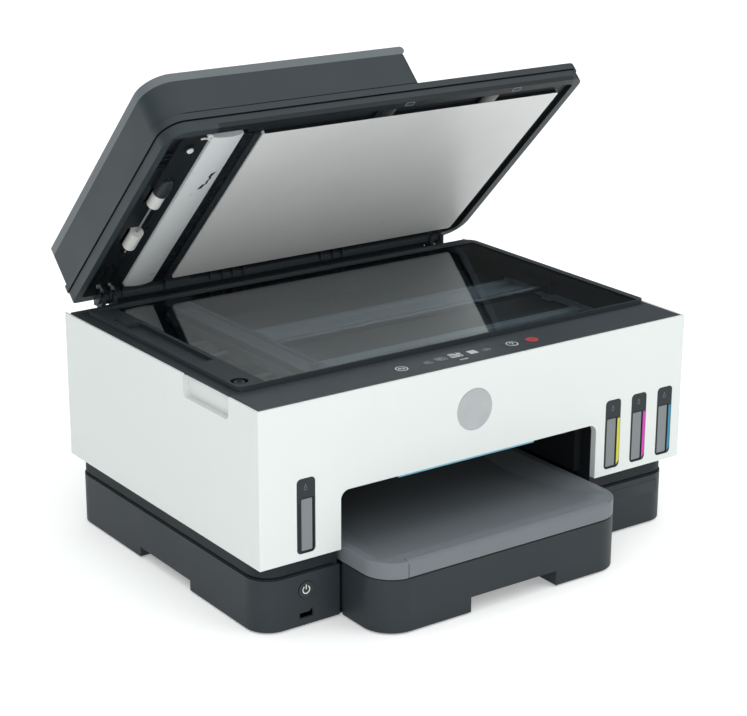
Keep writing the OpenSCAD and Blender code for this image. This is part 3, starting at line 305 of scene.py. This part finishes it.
def ink_plastic(name, ink):
    """Frosted tank wall: grey sight glass at the front, the ink's tint up to its level behind it."""
    look = moulded(name, srgb(122, 128, 131), 0.32, depth=0.004)
    look.zone(srgb(150, 153, 155), BODY, (None, SIGHT_BACK, None), ANY)
    return look.zone(ink, BODY, (None, SIGHT_BACK, INK_LOW), (None, None, INK_LEVEL))


tank_looks = {n: ink_plastic(n + "_tank_plastic", c) for n, c in INKS.items()}
tint_looks = {n: moulded(n + "_mark_plastic", c, 0.4) for n, c in INKS.items() if n != "black"}

NODE_LOOKS = {
    white: ["white_shell"],
    case: ["base_shell", "ink_bezels", "pick_arm"],
    cassette_look: ["paper_cassette"],
    housing_look: ["feeder_housing"],
    tub_look: ["scanner_tub"],
    head_look: ["scan_head"],
    idler_look: ["feeder_idlers"],
    lid_look: ["lid_frame"],
    neck: ["mid_frame"],
    black: ["output_liner", "power_inlet", "power_supply", "platen", "service_station", "rear_paper_guide",
            "print_carriage", "black_printhead", "colour_printhead", "rear_access_door",
            "feeder_guide_front", "feeder_guide_rear"],
    bed: ["scanner_bezel"],
    panel_look: ["control_panel"],
    gloss_black: ["power_button", "black_tank_cap"],
    tray_grey: ["output_tray", "tray_extender"],
    cover_grey: ["feeder_tray"],
    guide_grey: ["left_width_guide", "right_width_guide", "length_guide"],
    nylon: ["guide_pinion"],
    pad_look: ["lid_pad"],
    strip_look: ["backing_strip"],
    rubber: ["rubber_feet", "drive_belts", "feed_roller", "exit_roller", "pick_roller",
             "feeder_pick_roller"],
    steel: ["print_chassis", "drive_motors"],
    bright_steel: ["carriage_rod", "lid_hinge_pins"],
    steel_dark: ["unit_hinge_brackets", "usb_ports"],
    rod_look: ["scan_rod"],
    board_look: ["main_board"],
    film: ["encoder_strip"],
    glass: ["scanner_glass"],
    glow: ["light_bar"],
}
for look, names in NODE_LOOKS.items():
    for name in names:
        for s in nodes[name].material_slots:
            s.material = look.mat
for tint, tank_look in tank_looks.items():
    nodes[tint + "_ink_tank"].material_slots[0].material = tank_look.mat
for tint, tint_look in tint_looks.items():
    nodes[tint + "_tank_cap"].material_slots[0].material = tint_look.mat


# ---- edges of the CAD nodes ----------------------------------------------------
WELD_GAP = 0.00001            # metres
FLAT_ANGLE = math.radians(0.5)
EDGE_ANGLE = math.radians(50)


def soften(name, width_mm):
    """Rounds a CAD node's sharp edges by modifiers, which leave its own mesh as packed."""
    o = nodes[name]
    weld = o.modifiers.new("weld", "WELD")
    weld.merge_threshold = WELD_GAP
    flat = o.modifiers.new("flat", "DECIMATE")
    flat.decimate_type = "DISSOLVE"
    flat.angle_limit = FLAT_ANGLE
    edge = o.modifiers.new("edge", "BEVEL")
    edge.width = width_mm * MM
    edge.segments = 2
    edge.limit_method = "ANGLE"
    edge.angle_limit = EDGE_ANGLE
    even = o.modifiers.new("even", "WEIGHTED_NORMAL")
    even.keep_sharp = True


# ---- mesh helpers ------------------------------------------------------------------
ARC_STEP = 12                 # degrees between an arc's points, unless told otherwise
CORNER_STEPS = 5              # steps in a rounded corner
MITRE_LIMIT = 0.3             # keeps a stroke's outer corner short where it doubles back
DISSOLVE_ANGLE = 0.002        # radians
BEVEL_ANGLE = math.radians(35)
SHARP_ANGLE = math.radians(32)


def arc(x, y, r, start=0.0, turn=360.0, steps=None):
    """Points along an arc in degrees; a full circle leaves its last point out."""
    steps = steps or max(6, int(abs(turn) / ARC_STEP))
    count = steps if abs(turn) >= 360 else steps + 1
    return [(x + r * math.cos(math.radians(start + turn * i / steps)),
             y + r * math.sin(math.radians(start + turn * i / steps))) for i in range(count)]


def rectangle(x0, x1, y0, y1, r):
    corners = ((x1 - r, y0 + r, -90), (x1 - r, y1 - r, 0), (x0 + r, y1 - r, 90), (x0 + r, y0 + r, 180))
    return [p for x, y, a in corners for p in arc(x, y, r, a, 90, CORNER_STEPS)]


def looped(points):
    """Path that ends where it starts."""
    return points + points[:1]


def moved(paths, x, y):
    return [[(x + px, y + py) for px, py in path] for path in paths]


def stroke(points, width, closed):
    """Outline of a pen stroke: one loop, or an outer and an inner loop for a closed path."""
    count = len(points)
    pts = [Vector(p) for p in points]
    sides = [[], []]
    for i, p in enumerate(pts):
        ways = []
        if closed or i > 0:
            ways.append((p - pts[i - 1]).normalized())
        if closed or i < count - 1:
            ways.append((pts[(i + 1) % count] - p).normalized())
        normals = [Vector((-w.y, w.x)) for w in ways]
        if len(normals) == 1:
            mitre = normals[0]
        else:
            mitre = (normals[0] + normals[1]) / max(MITRE_LIMIT, 1 + normals[0].dot(normals[1]))
        for side, sign in zip(sides, (1, -1)):
            q = p + mitre * (sign * width / 2)
            side.append((q.x, q.y))
    if closed:
        return [sides[0], sides[1]]
    return [sides[0] + sides[1][::-1]]


class Solid:
    """Closed shapes collected in one bmesh, drawn in millimetres."""

    def __init__(self):
        self.bm = bmesh.new()

    def plate(self, loops, z0, z1, rise=None):
        """Prism with the given outlines; an outline inside another is a hole. rise(x, y) lifts a point."""
        points = [p for loop in loops for p in loop]
        lift = rise or (lambda x, y: 0.0)
        low = [self.bm.verts.new((x, y, z0)) for x, y in points]
        high = [self.bm.verts.new((x, y, z1 + lift(x, y))) for x, y in points]
        for tri in tessellate_polygon([[Vector((x, y, 0)) for x, y in loop] for loop in loops]):
            self.bm.faces.new([high[i] for i in tri])
            self.bm.faces.new([low[i] for i in reversed(tri)])
        start = 0
        for loop in loops:
            for i in range(len(loop)):
                a, b = start + i, start + (i + 1) % len(loop)
                self.bm.faces.new((low[a], low[b], high[b], high[a]))
            start += len(loop)
        return self

    def lines(self, paths, width, z0, z1, rise=None):
        """Pen strokes as prisms. A path that ends where it starts is closed."""
        for path in paths:
            closed = len(path) > 2 and path[0] == path[-1]
            self.plate(stroke(path[:-1] if closed else path, width, closed), z0, z1, rise)
        return self

    def turned(self, x, y, profile, steps, loop=False):
        """Profile of (radius, z) pairs turned about an upright axis, from axis to axis or as a loop."""
        rings = []
        for r, z in profile:
            if r == 0:
                rings.append([self.bm.verts.new((x, y, z))])
            else:
                rings.append([self.bm.verts.new((px, py, z)) for px, py in arc(x, y, r, 0, 360, steps)])
        for a, b in zip(rings, rings[1:] + rings[:1] if loop else rings[1:]):
            for i in range(steps):
                j = (i + 1) % steps
                quad = [a[i % len(a)], a[j % len(a)], b[j % len(b)], b[i % len(b)]]
                self.bm.faces.new([v for k, v in enumerate(quad) if v not in quad[:k]])
        return self

    def tube(self, points, radius, steps):
        """Round rod along a path of 3-D points, with flat ends."""
        pts = [Vector(p) for p in points]
        rings = []
        for i, p in enumerate(pts):
            way = (pts[min(i + 1, len(pts) - 1)] - pts[max(i - 1, 0)]).normalized()
            side = way.cross(Vector((0, 0, 1)))
            side = (side if side.length > 0.1 else way.cross(Vector((0, 1, 0)))).normalized()
            up = side.cross(way)
            rings.append([self.bm.verts.new(p + (side * math.cos(t) + up * math.sin(t)) * radius)
                          for t in (2 * math.pi * k / steps for k in range(steps))])
        for a, b in zip(rings, rings[1:]):
            for i in range(steps):
                j = (i + 1) % steps
                self.bm.faces.new((a[i], a[j], b[j], b[i]))
        self.bm.faces.new(rings[0][::-1])
        self.bm.faces.new(rings[-1])
        return self

    def round_edges(self, width):
        sharp = [e for e in self.bm.edges if e.is_manifold and e.calc_face_angle(0) > BEVEL_ANGLE]
        bmesh.ops.bevel(self.bm, geom=sharp, offset=width, segments=2, affect="EDGES", profile=0.5,
                        clamp_overlap=True)

    def piece(self, name, place, look, body, slot, edge=0.0):
        """Turns what was drawn into an object that rides on a body."""
        bmesh.ops.dissolve_limit(self.bm, angle_limit=DISSOLVE_ANGLE, verts=self.bm.verts,
                                 edges=self.bm.edges)
        bmesh.ops.recalc_face_normals(self.bm, faces=self.bm.faces)
        if edge:
            self.round_edges(edge)
        self.bm.transform(place)
        bmesh.ops.recalc_face_normals(self.bm, faces=self.bm.faces)
        me = bpy.data.meshes.new(name)
        self.bm.to_mesh(me)
        self.bm.free()
        me.materials.append(look.mat)
        me.shade_smooth()
        me.set_sharp_from_angle(angle=SHARP_ANGLE)
        o = bpy.data.objects.new(name, me)
        bpy.context.scene.collection.objects.link(o)
        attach(o, body)


PRINT = 0.05                  # how far a print on the panel stands proud
MARK = 0.03                   # how far a mark on the other faces stands proud
SINK = -0.3                   # how deep a print's underside lies in its carrier


# ---- control panel's printed signs ------------------------------------------------
RING_R, RING_PEN, SIGN_PEN = 5.1, 0.8, 0.75
CARD_PEN, SHEET_PEN, COPY_PEN = 0.62, 0.68, 0.72
COPY_TURN_R = 6.4
BACK, CARD, SHEETS, COPY = (-70.7, 22.7), (-43.4, 22.7), (-29.1, 24.5), (-13.0, 25.4)
LEVEL, SCAN, FEED = (-16.3, 13.6), (4.0, 24.3), (18.1, 23.0)
HELP, CANCEL = (45.6, 22.9), (67.3, 22.5)
LEVEL_STEP = 2.15


def panel_signs():
    bright, dim, soft = Solid(), Solid(), Solid()
    ring = looped(arc(0, 0, RING_R, 0, 360, 30))
    # back: ring with a turned arrow
    bright.lines(moved([ring], *BACK), RING_PEN, SINK, PRINT)
    arrow = [[(-2.4, 0.9), (1.2, 0.9)] + arc(1.2, -0.4, 1.3, 90, -180, 8) + [(-0.6, -1.7)],
             [(-1.1, 2.4), (-2.6, 0.9), (-1.1, -0.6)]]
    bright.lines(moved(arrow, *BACK), SIGN_PEN, SINK, PRINT)
    # identity card with an arrow
    card = [looped(rectangle(-3.2, 1.6, -1.6, 2.6, 0.5)), [(-2.2, 1.2), (0.4, 1.2)],
            [(-2.2, -0.1), (0.4, -0.1)], [(2.6, -0.6), (3.4, -2.2), (0.6, -2.8)]]
    dim.lines(moved(card, *CARD), CARD_PEN, SINK, PRINT)
    # two sheets
    sheets = [looped(rectangle(-4.6, 3.2, -1.8, 3.6, 0.5)), [(4.8, 2.2), (4.8, -3.4), (-3.0, -3.4)],
              [(-3.2, 2.0), (1.8, 2.0)], [(-3.2, 0.8), (1.8, 0.8)], [(-3.2, -0.4), (0.4, -0.4)]]
    dim.lines(moved(sheets, *SHEETS), SHEET_PEN, SINK, PRINT)
    # copy: a pair of sheets between two turning arrows
    copy = [looped(rectangle(-5.0, 0.4, -2.2, 4.6, 0.6)), looped(rectangle(-1.6, 4.8, -4.4, 2.2, 0.6)),
            [(-3.8, 3.0), (-1.0, 3.0)], [(-3.8, 1.6), (-2.0, 1.6)], [(-0.4, 0.8), (3.6, 0.8)],
            [(-0.4, -0.6), (3.6, -0.6)], [(-0.4, -2.0), (3.6, -2.0)], [(-0.4, -3.3), (2.2, -3.3)],
            arc(0, 0, COPY_TURN_R, 62, -52, 6), [(6.6, 3.4), (5.2, 2.0), (3.6, 3.6)],
            arc(0, 0, COPY_TURN_R, 242, -52, 6), [(-6.6, -3.4), (-5.2, -2.0), (-3.6, -3.6)]]
    bright.lines(moved(copy, *COPY), COPY_PEN, SINK, PRINT)
    # level mark under it
    for i in range(4):
        bar = rectangle(-0.75, 0.75, -1.1, 1.1, 0.4)
        soft.plate(moved([bar], LEVEL[0] + LEVEL_STEP * i, LEVEL[1]), SINK, PRINT)
    # scan: a filled sheet in three bands
    for y0, y1, r in ((1.2, 4.0, 0.5), (-1.5, 0.9, 0.3), (-4.0, -1.8, 0.5)):
        soft.plate(moved([rectangle(-4.0, 4.2, y0, y1, r)], *SCAN), SINK, PRINT)
    # paper feed: a slot with a dot
    dim.lines(moved([looped(rectangle(-3.4, 3.4, -1.9, 1.9, 1.8))], *FEED), SHEET_PEN, SINK, PRINT)
    dim.plate(moved([arc(0, 0, 0.9)], *FEED), SINK, PRINT)
    # help: ring with a question mark
    bright.lines(moved([ring], *HELP), RING_PEN, SINK, PRINT)
    hook = arc(0, 1.2, 1.4, 165, -200, 9) + [(0, -0.5), (0, -1.1)]
    bright.lines(moved([hook], *HELP), SIGN_PEN, SINK, PRINT)
    bright.plate(moved([arc(0, -2.3, 0.5)], *HELP), SINK, PRINT)
    bright.piece("panel_signs_bright", PANEL, print_bright, "scanner_unit", "pale_plastic")
    dim.piece("panel_signs_dim", PANEL, print_dim, "scanner_unit", "pale_plastic")
    soft.piece("panel_signs_soft", PANEL, print_white, "scanner_unit", "pale_plastic")
    # cancel: a red disc with a cross
    Solid().plate([arc(*CANCEL, 5.6, 0, 360, 36)], SINK, PRINT).piece(
        "panel_sign_cancel", PANEL, print_red, "scanner_unit", "magenta")
    cross = moved([[(-1.6, -1.6), (1.6, 1.6)], [(-1.6, 1.6), (1.6, -1.6)]], *CANCEL)
    Solid().lines(cross, 0.6, 0, PRINT + 0.03).piece(
        "panel_sign_cancel_cross", PANEL, panel_look, "scanner_unit", "panel_gloss")


# ---- front face -------------------------------------------------------------------
BEZEL_X = {"black": -180.4, "yellow": 144.0, "magenta": 174.4, "cyan": 205.2}
BEZEL_W = 17.8
PANE_SHIFT = 1.1              # from a bezel's middle to its sight glass's middle
PANE_HALF, PANE_LOW, PANE_HIGH, PANE_R = 5.7, 69.0, 114.5, 1.2
PANE_RIM = 0.8
SIGN_Z = 124.2


def front_marks():
    for name, x in BEZEL_X.items():
        left = x - BEZEL_W / 2
        if name == "black":
            bar = [(left + 1.5, 71), (left + 2.6, 71), (left + 2.6, 111), (left + 1.5, 111)]
            look, slot, pane = black, "black_plastic", x + PANE_SHIFT
        else:
            bar = [(left + 14.4, 70.3), (left + 16.0, 71.6), (left + 17.3, 74.5), (left + 17.3, 113.6),
                   (left + 14.4, 113.6)]
            look, slot, pane = tint_looks[name], name, x - PANE_SHIFT
        Solid().plate([bar], SINK, 0.04).piece(
            name + "_tank_bar", SHELL_FACE, look, "printer_body", slot)
        # dark line round the sight glass
        rim = [rectangle(pane - PANE_HALF - grow, pane + PANE_HALF + grow, PANE_LOW - grow,
                         PANE_HIGH + grow, PANE_R + grow) for grow in (PANE_RIM, 0)]
        Solid().plate(rim, SINK, MARK).piece(
            name + "_pane_line", SHELL_FACE, black, "printer_body", "black_plastic")
        # a drop in place of a letter
        drop = looped(arc(0, -0.9, 1.35, 150, 240, 12) + [(0, 2.4)])
        Solid().lines(moved([drop], x - 0.4, SIGN_Z), 0.42, SINK, MARK).piece(
            name + "_tank_sign", SHELL_FACE, print_faint, "printer_body", "grey_plastic")
    # blank round badge
    badge = [(0, -0.5), (18.4, -0.5), (18.4, 0.12), (18.1, 0.3), (17.2, 0.36), (0, 0.5)]
    Solid().turned(-11.5, 155.2, badge, 72).piece(
        "blank_badge", SHELL_FACE, badge_look, "printer_body", "steel")
    # bare plate at the right of the base
    Solid().plate([rectangle(128, 205.5, 30.5, 41.5, 1.2)], -0.4, 0.12).piece(
        "bare_plate", BASE_FACE, case, "printer_body", "dark_case", 0.05)


DISH_R = 30.2                 # radius of the power button's shallow dish
BUTTON_X, BUTTON_Z = -177.3, 32.5


def power_sign():
    """Standby sign in the button's shallow dish."""
    def dish(x, y):
        return DISH_R - math.sqrt(DISH_R ** 2 - x * x - y * y)

    sign = Solid().lines([arc(0, 0, 3.3, 125, 290, 26), [(0, 0.4), (0, 1.8), (0, 3.2), (0, 4.5)]],
                         0.85, -0.4, 0.06, dish)
    place = BODY @ Matrix.Translation((BUTTON_X, BASE_FRONT, BUTTON_Z)) @ UPRIGHT
    sign.piece("power_sign", place, print_bright, "power_button", "pale_plastic")


# ---- scanner bed -------------------------------------------------------------------
SCREW = (-202.5, 61.8)


def bed_details():
    head = [(0, -3.4), (2.2, -3.4), (2.2, -1.6), (1.9, -1.15), (0, -0.95)]
    Solid().turned(*SCREW, head, 24).piece("bed_screw", BED, steel_dark, "scanner_unit", "steel")
    # painted shade: a black cross on the head stands for its cross recess
    cross = [[(-1.3, -0.3), (1.3, 0.3)], [(-0.3, 1.3), (0.3, -1.3)]]
    Solid().lines(moved(cross, *SCREW), 0.45, -1.5, -0.9).piece(
        "bed_screw_cross", BED, black, "scanner_unit", "black_plastic")


# ---- underside of the lid -----------------------------------------------------------
FILM_X0, FILM_X1, FILM_Y0, FILM_Y1 = -136.6, -127.0, -243.0, -12.0
FILM_LOW, FILM_HIGH, FILM_FOLD = -4.3, -3.6, 1.6
FILM_COLS, FILM_ROWS = 9, 150
FILM_SEED, FILM_WAVES = 7, 7
STRIP_X, STRIP_R, STRIP_AXIS = -152.5, 58.5, 60.0     # the crown's middle, radius and axis height
IDLER_AXIS = (-186, 0, 5.6)


def creased_film():
    """Creased black film between the backing strip and the pad."""
    rng = random.Random(FILM_SEED)
    waves = [(rng.uniform(0, 6.3), rng.uniform(0.12, 0.55), rng.uniform(-0.35, 0.35))
             for _ in range(FILM_WAVES)]
    solid = Solid()
    verts, faces = solid.bm.verts, solid.bm.faces
    top, low = [], []
    for j in range(FILM_ROWS + 1):
        y = FILM_Y0 + (FILM_Y1 - FILM_Y0) * j / FILM_ROWS
        for i in range(FILM_COLS + 1):
            x = FILM_X0 + (FILM_X1 - FILM_X0) * i / FILM_COLS
            fold = sum(abs(math.sin(p + y * k + x * s)) for p, k, s in waves) / len(waves)
            rim = min(1.0, 2.4 * min(i, FILM_COLS - i) / FILM_COLS + 0.25)
            top.append(verts.new((x, y, FILM_HIGH + FILM_FOLD * fold * rim)))
            low.append(verts.new((x, y, FILM_LOW)))
    step = FILM_COLS + 1
    for j in range(FILM_ROWS):
        for i in range(FILM_COLS):
            a = j * step + i
            faces.new((top[a], top[a + 1], top[a + 1 + step], top[a + step]))
            faces.new((low[a], low[a + step], low[a + 1 + step], low[a + 1]))
    sides = [[j * step + i for j in range(FILM_ROWS + 1)] for i in (0, FILM_COLS)]
    ends = [[j * step + i for i in range(step)] for j in (0, FILM_ROWS)]
    for line in sides + ends:
        for a, b in zip(line, line[1:]):
            faces.new((top[a], top[b], low[b], low[a]))
    solid.piece("creased_film", UNDER, creased, "lid", "black_plastic")


def pad_rib():
    """Rib between the film and the pad."""
    Solid().plate([rectangle(-126.4, -121.7, -243.4, -11.6, 0.8)], -4.3, -0.6).piece(
        "pad_rib", UNDER, well_look, "lid", "dark_case", 0.5)


def strip_slot():
    """Jagged slot in the backing strip's crowned face."""
    def crown(x, y):
        return math.sqrt(STRIP_R ** 2 - (x - STRIP_X) ** 2) - STRIP_AXIS

    path = [(-145.4, -187.0), (-147.2, -184.0), (-145.6, -180.6), (-147.4, -177.0), (-146.6, -173.8),
            (-149.6, -170.4)]
    ends = [[(-143.0, -190.0), (-147.8, -188.6), (-149.0, -183.2), (-146.0, -183.0)],
            [(-147.2, -173.4), (-150.6, -172.8), (-153.2, -166.2), (-149.0, -166.6)]]
    # the slot is a black mark on the crowned face: painted shade inside it
    cut = Solid().lines([path], 2.0, -4.0, 0.06, crown)
    for outline in ends:
        cut.plate([outline], -4.0, 0.07, crown)
    cut.piece("strip_slot", UNDER, black, "lid", "black_plastic")


def pad_holders():
    """Tabs that hold the pad's front edge, and the small frames beside them."""
    tabs, hooks = Solid(), Solid()
    for x in (1.5, 114.5):
        tabs.plate([rectangle(x - 9.5, x + 9.5, -253.0, -241.0, 1.5)], -2.0, -0.4)
    tabs.piece("pad_tabs", UNDER, pad_look, "lid", "pale_plastic", 0.2)
    for x in (22, 140):
        hooks.lines([looped(rectangle(x - 4.2, x + 4.2, -260.6, -256.2, 0.8))], 0.9, SINK, 0.25)
    hooks.piece("pad_hooks", UNDER, print_faint, "lid", "dark_case")


def roller_fittings():
    # hood over the front end of the idlers' shaft
    along = LID @ Matrix.Translation(IDLER_AXIS) @ Matrix.Rotation(math.radians(-90), 4, "X")
    hood = [(1.4, -183.6), (3.4, -183.6), (5.6, -180.0), (7.0, -174), (7.0, -164.2), (6.5, -164.2),
            (6.5, -169), (1.4, -169)]
    Solid().turned(0, 0, hood, 32, loop=True).piece(
        "idler_hood", along, well_look, "lid", "black_plastic", 0.2)
    # spring lever and pegs at the strip's front end
    path = [(-178.6, -242.8, -3.2), (-176.2, -243.2, -3.4), (-172.6, -242.2, -3.6), (-169.2, -240.2, -3.6),
            (-166.4, -237.6, -3.8)]
    Solid().tube(path, 0.9, 10).piece("strip_lever", UNDER, nylon, "lid", "pale_plastic")
    pegs = Solid()
    for x, y, r in ((-184.0, -229.0, 3.0), (-172.0, -247.4, 2.4)):
        pegs.turned(x, y, [(0, -8.0), (r, -8.0), (r, -1.7), (r - 0.6, -1.1), (r * 0.5, -1.1),
                           (r * 0.45, -2.0), (0, -2.0)], 20)
    pegs.piece("strip_pegs", UNDER, nylon, "lid", "pale_plastic")


# ---- stage ----------------------------------------------------------------------
SKY_LOW, SKY_HIGH = 0.36, 0.75
HORIZON, ZENITH = 0.03, 1.3
SEEN_SKY = 1.05               # seen directly, the world is as white as the floor
FLOOR_LIFT = 0.30             # the floor sheet gives off a little light, as a lit sweep does
FLOOR_HALF = 30               # metres


def stage():
    look = Look("floor_paper", srgb(247, 248, 248), 0.9, Specular_IOR_Level=0.1)
    look.mottle(900, 0.004).glows((1, 1, 1, 1), FLOOR_LIFT)
    me = bpy.data.meshes.new("floor")
    corners = [(x * FLOOR_HALF, y * FLOOR_HALF, 0) for x, y in ((-1, -1), (1, -1), (1, 1), (-1, 1))]
    me.from_pydata(corners, [], [(0, 1, 2, 3)])
    floor = bpy.data.objects.new("floor", me)
    bpy.context.scene.collection.objects.link(floor)
    me.materials.append(look.mat)

    # bright overhead, dark towards the horizon, so that upright gloss and the glass mirror little
    world = bpy.data.worlds.new("studio")
    bpy.context.scene.world = world
    world.use_nodes = True
    tree = world.node_tree
    background = tree.nodes["Background"]
    axes = tree.nodes.new("ShaderNodeSeparateXYZ")
    tree.links.new(tree.nodes.new("ShaderNodeTexCoord").outputs["Generated"], axes.inputs["Vector"])
    sky = tree.nodes.new("ShaderNodeMapRange")
    sky.interpolation_type = "SMOOTHSTEP"
    sky.inputs["From Min"].default_value = SKY_LOW
    sky.inputs["From Max"].default_value = SKY_HIGH
    sky.inputs["To Min"].default_value = HORIZON
    sky.inputs["To Max"].default_value = ZENITH
    tree.links.new(axes.outputs["Z"], sky.inputs["Value"])
    seen = tree.nodes.new("ShaderNodeMix")
    tree.links.new(tree.nodes.new("ShaderNodeLightPath").outputs["Is Camera Ray"], seen.inputs["Factor"])
    tree.links.new(sky.outputs["Result"], seen.inputs["A"])
    seen.inputs["B"].default_value = SEEN_SKY
    tree.links.new(seen.outputs["Result"], background.inputs["Strength"])
    background.inputs["Color"].default_value = (0.98, 1.0, 0.995, 1)


def softbox(name, where, target, size, power):
    data = bpy.data.lights.new(name, "AREA")
    data.shape = "RECTANGLE"
    data.size, data.size_y = size
    data.energy = power
    lamp = bpy.data.objects.new(name, data)
    lamp.location = where
    lamp.rotation_euler = (Vector(target) - Vector(where)).to_track_quat("-Z", "Y").to_euler()
    bpy.context.scene.collection.objects.link(lamp)


def camera():
    """The photograph's viewpoint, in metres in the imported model's frame."""
    eye = Vector((-1.0062, -1.4080, 0.7288))
    target = Vector((0.0635, 0.0971, 0.1175))
    roll = math.radians(0.174)
    photo_width, focal_px, sensor = 747, 2037.7, 36.0
    data = bpy.data.cameras.new("camera")
    data.sensor_width = sensor
    data.lens = focal_px / photo_width * sensor
    data.clip_end = 100
    cam = bpy.data.objects.new("camera", data)
    turn = (target - eye).to_track_quat("-Z", "Y").to_matrix().to_4x4()
    cam.matrix_world = Matrix.Translation(eye) @ turn @ Matrix.Rotation(roll, 4, "Z")
    bpy.context.scene.collection.objects.link(cam)
    bpy.context.scene.camera = cam


panel_signs()
front_marks()
power_sign()
bed_details()
creased_film()
pad_rib()
strip_slot()
pad_holders()
roller_fittings()
for name in ("white_shell", "base_shell", "control_panel", "feeder_tray", "output_tray", "paper_cassette"):
    soften(name, 0.5)

stage()
softbox("key", (2.0, -2.9, 2.1), (0.1, 0, 0.15), (2.4, 1.6), 24)
softbox("fill", (-1.7, -2.4, 0.55), (0, 0.05, 0.3), (1.8, 1.0), 20)
camera()
bpy.context.scene.view_settings.view_transform = "Standard"
